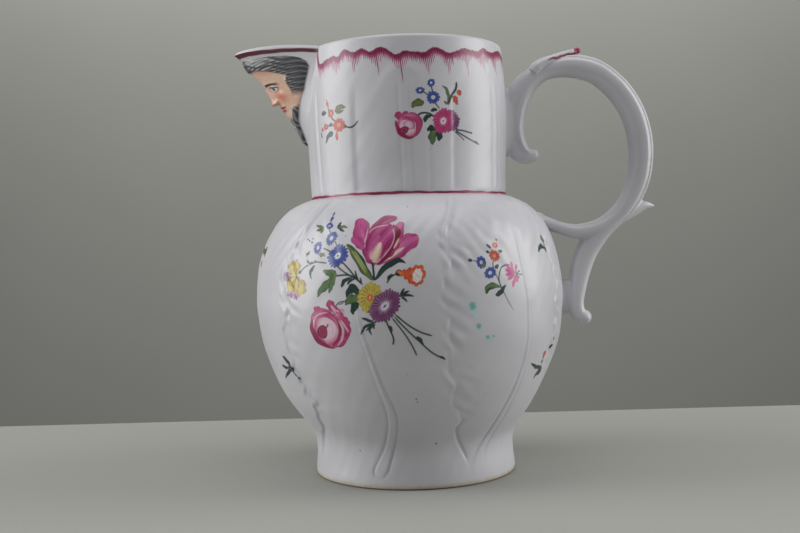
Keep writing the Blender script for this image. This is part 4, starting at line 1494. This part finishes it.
def handle_skins():
    """The handle's parts as overlapping closed skins, with the clay that was smeared round its joints."""
    return [
        bar_skin(STRAP, 300, strap_section),
        bar_skin(STRUT, 130, SQUARED),
        ball_skin((99.6, 0, 84.6), (4.3, 7.3, 4.3)),
        bar_skin(SPUR, 90, OVAL),
        ball_skin((98.9, 0, 237.9), (2.1, 3.7, 1.9)),
        bar_skin(PAD, 40, OVAL, 0.15),
        bar_skin(WEB, 40, SQUARED, 0.05),
        ball_skin((73.6, 0, 141.0), (5.2, 10.0, 5.0)),
    ]


def fused(name, skins, voxel, rounds):
    """Melts overlapping closed skins into one by rebuilding them on a fine lattice, then relaxes the creases."""
    source = bpy.data.objects.new(name, mesh_of(name, *joined(skins)))
    bpy.context.scene.collection.objects.link(source)
    remesh = source.modifiers.new("melt", "REMESH")
    remesh.mode = "VOXEL"
    remesh.voxel_size = voxel * MM
    relax = source.modifiers.new("relax", "SMOOTH")
    relax.factor = 0.5
    relax.iterations = rounds
    mesh = bpy.data.meshes.new_from_object(source.evaluated_get(bpy.context.evaluated_depsgraph_get()))
    bpy.data.objects.remove(source)
    mesh.name = name
    mesh.shade_smooth()
    return mesh


def handle_paint(mesh):
    """The crimson on the handle: a line along each edge of the thumb leaf, growing into a blot at its tip."""
    points = np.empty(len(mesh.vertices) * 3)
    mesh.vertices.foreach_get("co", points)
    x, _, z = (points.reshape(-1, 3) / MM).T
    line = np.interp(x, [80.0, 86.8, 91.6, 94.4, 101.5], [231.6, 233.2, 234.9, 235.2, 237.6]) + 0.2 * np.sin(x * 1.3)
    blot = hump(np.hypot(x - 98.9, (z - 238.0) * 1.1), 2.7)
    near = ease(0.95, 0.4, np.abs(z - line) - 0.35 * blot) * ease(79.5, 83.0, x) * ease(102.0, 101.0, x)
    cover = np.clip(np.maximum(near * 0.95, ease(0.35, 0.6, blot)), 0, 1)
    enamel_of(mesh, shade((170, 38, 98), (138, 20, 70), 0.5 + 0.5 * np.sin(x * 2.1)), cover)


# Finishes

class Nodes:
    """The nodes of a finish. Each pattern below adds one node and gives back what that node puts out."""

    def __init__(self, tree):
        self.nodes, self.links = tree.nodes, tree.links

    def join(self, socket, value):
        """Gives an input its value, or joins it to what another node puts out."""
        if isinstance(value, bpy.types.NodeSocket):
            self.links.new(value, socket)
        else:
            socket.default_value = value

    def add(self, kind, inputs, **settings):
        """A node of a kind, with its settings and its inputs."""
        made = self.nodes.new("ShaderNode" + kind)
        for name, value in settings.items():
            setattr(made, name, value)
        for name, value in inputs.items():
            self.join(made.inputs[name], value)
        return made.outputs

    def noise(self, place, scale, detail):
        """A cloud pattern of a scale per metre."""
        return self.add("TexNoise", {"Vector": place, "Scale": scale, "Detail": detail})["Fac"]

    def ramp(self, value, *stops):
        """A value turned into a colour through two stops."""
        made = self.nodes.new("ShaderNodeValToRGB")
        for element, (place, colour) in zip(made.color_ramp.elements, stops):
            element.position, element.color = place, (*colour, 1)
        self.join(made.inputs["Fac"], value)
        return made.outputs["Color"]

    def blend(self, kind, share, a, b):
        """Two colours mixed by a share."""
        return self.add("Mix", {"Factor": share, 6: a, 7: b}, data_type="RGBA", blend_type=kind)[2]

    def math(self, kind, a, b):
        """Two values added, multiplied or compared."""
        return self.add("Math", {0: a, 1: b}, operation=kind)[0]

    def fall(self, value, high, low):
        """A value as a share: 0 from a high place up, 1 from a low place down."""
        return self.add("MapRange", {"Value": value, "From Min": high, "From Max": low})["Result"]


def new_finish(name):
    """A new material, its nodes, its shader's inputs and the place on the object that its patterns read."""
    material = bpy.data.materials.new(name)
    material.use_nodes = True
    made = Nodes(material.node_tree)
    return material, made, made.nodes["Principled BSDF"].inputs, made.add("TexCoord", {})["Object"]


def glaze_group():
    """
    Porcelain under its glaze, shared by every finish of the jug: greyish white with cloudy patches, greyer and
    bluer where glaze pools in hollows, with rare brown specks and a faint unevenness. Puts out colour,
    roughness and the height of its surface.
    """
    group = bpy.data.node_groups.new("porcelain_glaze", "ShaderNodeTree")
    for way, name, kind in (
        ("INPUT", "Place", "Vector"), ("INPUT", "Hollow", "Float"),
        ("OUTPUT", "Colour", "Color"), ("OUTPUT", "Roughness", "Float"), ("OUTPUT", "Height", "Float"),
    ):
        group.interface.new_socket(name, in_out=way, socket_type="NodeSocket" + kind)
    made = Nodes(group)
    source, result = made.nodes.new("NodeGroupInput").outputs, made.nodes.new("NodeGroupOutput").inputs
    place = source["Place"]

    cloud = made.noise(place, 26.0, 4.0)
    grain = made.noise(place, 420.0, 3.0)
    tint = made.ramp(cloud, (0.3, (0.572, 0.566, 0.596)), (0.7, (0.626, 0.618, 0.65)))
    pooled = made.blend("MULTIPLY", source["Hollow"], tint, (0.80, 0.815, 0.86, 1))

    cells = made.add("TexVoronoi", {"Vector": place, "Scale": 58.0})
    speck = made.math("LESS_THAN", cells["Distance"], 0.022)
    rare = made.math("GREATER_THAN", made.add("SeparateColor", {"Color": cells["Color"]})["Red"], 0.72)
    faint = made.math("MULTIPLY", made.math("MULTIPLY", speck, rare), 0.6)
    made.join(result["Colour"], made.blend("MIX", faint, pooled, (0.16, 0.11, 0.08, 1)))

    rough = made.add("MapRange", {"Value": cloud, "To Min": 0.33, "To Max": 0.47})["Result"]
    made.join(result["Roughness"], rough)
    wave = made.noise(place, 90.0, 2.0)
    made.join(result["Height"], made.math("ADD", wave, made.math("MULTIPLY", grain, 0.25)))
    return group


GLAZE = glaze_group()


def glazed(name, enamelled=False, foot=False):
    """
    A finish of the jug: porcelain under a soft glossy glaze. An enamelled one lays the piece's own painted
    colours over it, a little glossier. One with a foot is bare, buff and rough where the glaze was wiped off.
    """
    material, made, shader, place = new_finish(name)
    hollow = made.add("Attribute", {}, attribute_name="hollow")["Fac"]
    porcelain = made.add("Group", {"Place": place, "Hollow": hollow}, node_tree=GLAZE)
    colour, rough = porcelain["Colour"], porcelain["Roughness"]
    bump = made.add("Bump", {"Height": porcelain["Height"], "Strength": 0.12, "Distance": 0.0006})
    if enamelled:
        paint = made.add("Attribute", {}, attribute_name="enamel")
        worn = made.ramp(made.noise(place, 700.0, 2.0), (0.2, (0.86, 0.86, 0.86)), (0.75, (1, 1, 1)))
        tone = made.blend("MULTIPLY", 1.0, paint["Color"], worn)
        colour = made.blend("MIX", paint["Alpha"], colour, tone)
        rough = made.math("ADD", rough, made.math("MULTIPLY", paint["Alpha"], -0.06))
    if foot:
        height = made.add("SeparateXYZ", {"Vector": place})["Z"]
        ragged = made.math("MULTIPLY", made.noise(place, 160.0, 3.0), 0.0022)
        bare = made.fall(made.math("SUBTRACT", height, ragged), 0.0022, 0.0004)
        dust = made.noise(place, 500.0, 4.0)
        clay = made.ramp(dust, (0.3, (0.50, 0.44, 0.35)), (0.7, (0.60, 0.54, 0.45)))
        colour = made.blend("MIX", bare, colour, clay)
        colour = made.blend("MIX", made.fall(height, 0.001, 0.0003), colour, (0.20, 0.14, 0.09, 1))
        rough = made.math("ADD", rough, made.math("MULTIPLY", bare, 0.5))
    for socket, value in (
        ("IOR", 1.5), ("Coat Roughness", 0.18), ("Coat Weight", 0.2),
        ("Normal", bump["Normal"]), ("Base Color", colour), ("Roughness", rough),
    ):
        made.join(shader[socket], value)
    return material


glaze = glazed("porcelain_glaze")
glaze_foot = glazed("porcelain_glaze_foot", foot=True)
enamel = glazed("enamel_on_glaze", enamelled=True)

_rings, _depth = belly_rings()
_mesh = mesh_of("belly", *ring_skin(_rings, np.array([[0, 0, 0.0], [0, 0, BASE_THICKNESS]])))
hollow_of(_mesh, _depth)
add_piece("belly", _mesh, glaze_foot, "glaze", "belly_near_half", "belly_far_half", "base_slab")

_rings, _depth = neck_rings()
_mesh = mesh_of("neck", *ring_skin(_rings))
hollow_of(_mesh, _depth)
add_piece("neck", _mesh, glaze, "glaze", "neck_collar")

_rings = spout_rings()
add_piece("spout", mesh_of("spout", *ring_skin(_rings, mid_ends(_rings))), glaze, "glaze", "spout_beak")

_rings = mask_rings()
_nose = _rings.shape[1] // 4
_ends = np.stack([_rings[0].mean(axis=0), _rings[-1, [_nose, -1 - _nose]].mean(axis=0)])
_mesh = mesh_of("mask", *ring_skin(_rings, _ends))
_colour, _cover = mask_paint()
enamel_of(_mesh, np.vstack([_colour, _colour[[0, -1]]]), np.append(_cover, [0.0, 0.0]))
add_piece("mask", _mesh, enamel, "flesh_enamel", "bearded_mask")

_mesh = fused("handle", handle_skins(), HANDLE_VOXEL, HANDLE_RELAX)
handle_paint(_mesh)
add_piece("handle", _mesh, enamel, "glaze", "handle_loop", "lower_scroll", "belly_pad", "handle_spur")

_mesh = mesh_of("thumb_rest_leaf", *bar_skin(LEAF, 130, SQUARED, 0.2))
handle_paint(_mesh)
add_piece("thumb_rest_leaf", _mesh, enamel, "glaze", "thumb_leaf")

enamel_piece("rim_border", rim_border(), on_neck(90.0))
enamel_piece("neck_line", neck_line(), on_neck(90.0))
enamel_piece("lip_line", lip_line(), lambda u, v, lift: off_spout(-u, v, lift))

# The sprays: name, strokes, the corners of the canvas, the skin it lies on and the azimuth of its middle. All but the
# stray sprigs are painted on the far side too, turned left to right.
SPRAYS = [
    ("bouquet", BOUQUET, (-72, -36), (34, 58), on_belly, -8.0),
    ("side_spray", SIDE_SPRAY, (-46, -52), (38, 40), on_belly, 45.0),
    ("stray_sprigs", STRAY_SPRIGS, (-114, -92), (24, 36), on_belly, -8.0),
    ("neck_spray", NECK_SPRAY, (-26, -24), (34, 20), on_neck, 13.0),
    ("neck_sprig", NECK_SPRIG, (-20, -20), (18, 14), on_neck, -40.0),
]
for _name, _spray, _low, _high, _skin, _middle in SPRAYS:
    enamel_piece(_name, painted(_low, _high, _spray), _skin(_middle))
for _name, _spray, _low, _high, _skin, _middle in SPRAYS:
    if _name != "stray_sprigs":
        _far = painted((-_high[0], _low[1]), (-_low[0], _high[1]), mirrored(_spray))
        enamel_piece("far_" + _name, _far, _skin(180.0 - _middle))


# Studio: a pale floor, a pale wall behind it, soft lights on both sides and above, and the camera

STAGE_WIDTH = 8000.0


def stage_sheet(name, profile, colour):
    """A plain sheet: one profile in Y and Z carried sideways, with a faint cloudiness."""
    profile = np.asarray(profile, float)
    sides = np.array([-0.5, 0.5]) * STAGE_WIDTH
    points = stacked(sides[None, :], profile[:, :1], profile[:, 1:]).reshape(-1, 3)
    quads = squares(np.arange(len(points)).reshape(-1, 2))
    sheet = bpy.data.objects.new(name, mesh_of(name, points, quads))
    bpy.context.scene.collection.objects.link(sheet)
    material, made, shader, place = new_finish(name + "_paper")
    shader["Roughness"].default_value = 0.9
    cloud = made.noise(place, 3.0, 2.0)
    made.join(shader["Base Color"], made.ramp(cloud, (0.3, tuple(0.97 * c for c in colour)), (0.7, colour)))
    sheet.data.materials.append(material)


def soft_light(name, place, target, size, power):
    """A rectangular lamp that faces a point. Places and sizes are in metres, the power in watts."""
    light = bpy.data.lights.new(name, "AREA")
    light.shape = "RECTANGLE"
    light.size, light.size_y = size
    light.energy = power
    lamp = bpy.data.objects.new(name, light)
    lamp.location = place
    lamp.rotation_euler = (Vector(target) - Vector(place)).to_track_quat("-Z", "Y").to_euler()
    bpy.context.scene.collection.objects.link(lamp)


def studio():
    """
    A floor, a wall, and plain soft light: two wide lamps beside the jug, one above it, one on the wall, and a little
    from all round.
    """
    stage_sheet("floor", [(-3000, 0), (174, 0), (176, -2), (176, -40)], (0.38, 0.38, 0.352))
    stage_sheet("wall", [(1900, -1500), (1900, 3500)], (0.26, 0.26, 0.236))
    soft_light("left_soft", (-1.25, -0.08, 0.5), (0, 0, 0.13), (0.8, 1.2), 12.5)
    soft_light("right_soft", (1.25, -0.05, 0.5), (0, 0, 0.13), (0.8, 1.2), 11.5)
    soft_light("top_soft", (0, -0.2, 1.5), (0, 0, 0.1), (1.3, 1.1), 8.0)
    soft_light("wall_soft", (0, 1.3, 1.6), (0, 1.9, 1.1), (3.0, 0.3), 36)
    world = bpy.data.worlds.new("room")
    bpy.context.scene.world = world
    world.use_nodes = True
    world.node_tree.nodes["Background"].inputs["Color"].default_value = (0.9, 0.92, 0.95, 1)
    world.node_tree.nodes["Background"].inputs["Strength"].default_value = 0.23


# The camera: its focal length in widths of the picture, its place in millimetres, its pitch and roll in degrees.
FOCAL_WIDTHS, SENSOR_WIDTH = 1027.84 / 800, 36.0
VIEWER_PLACE = (-6.14, -594.5, 132.14)
VIEWER_PITCH, VIEWER_ROLL = -1.495, -1.545


def camera():
    """The viewer: in front of the jug at the height of its shoulder, tipped slightly down and to one side."""
    lens = bpy.data.cameras.new("viewer")
    lens.sensor_width = SENSOR_WIDTH
    lens.lens = FOCAL_WIDTHS * SENSOR_WIDTH
    viewer = bpy.data.objects.new("viewer", lens)
    bpy.context.scene.collection.objects.link(viewer)
    pitch, roll = math.radians(VIEWER_PITCH), math.radians(VIEWER_ROLL)
    turn = Matrix.Rotation(math.pi / 2 + pitch, 4, "X") @ Matrix.Rotation(roll, 4, "Z")
    viewer.matrix_world = Matrix.Translation(Vector(VIEWER_PLACE) * MM) @ turn
    bpy.context.scene.camera = viewer


studio()
camera()
bpy.context.scene.view_settings.view_transform = "Standard"
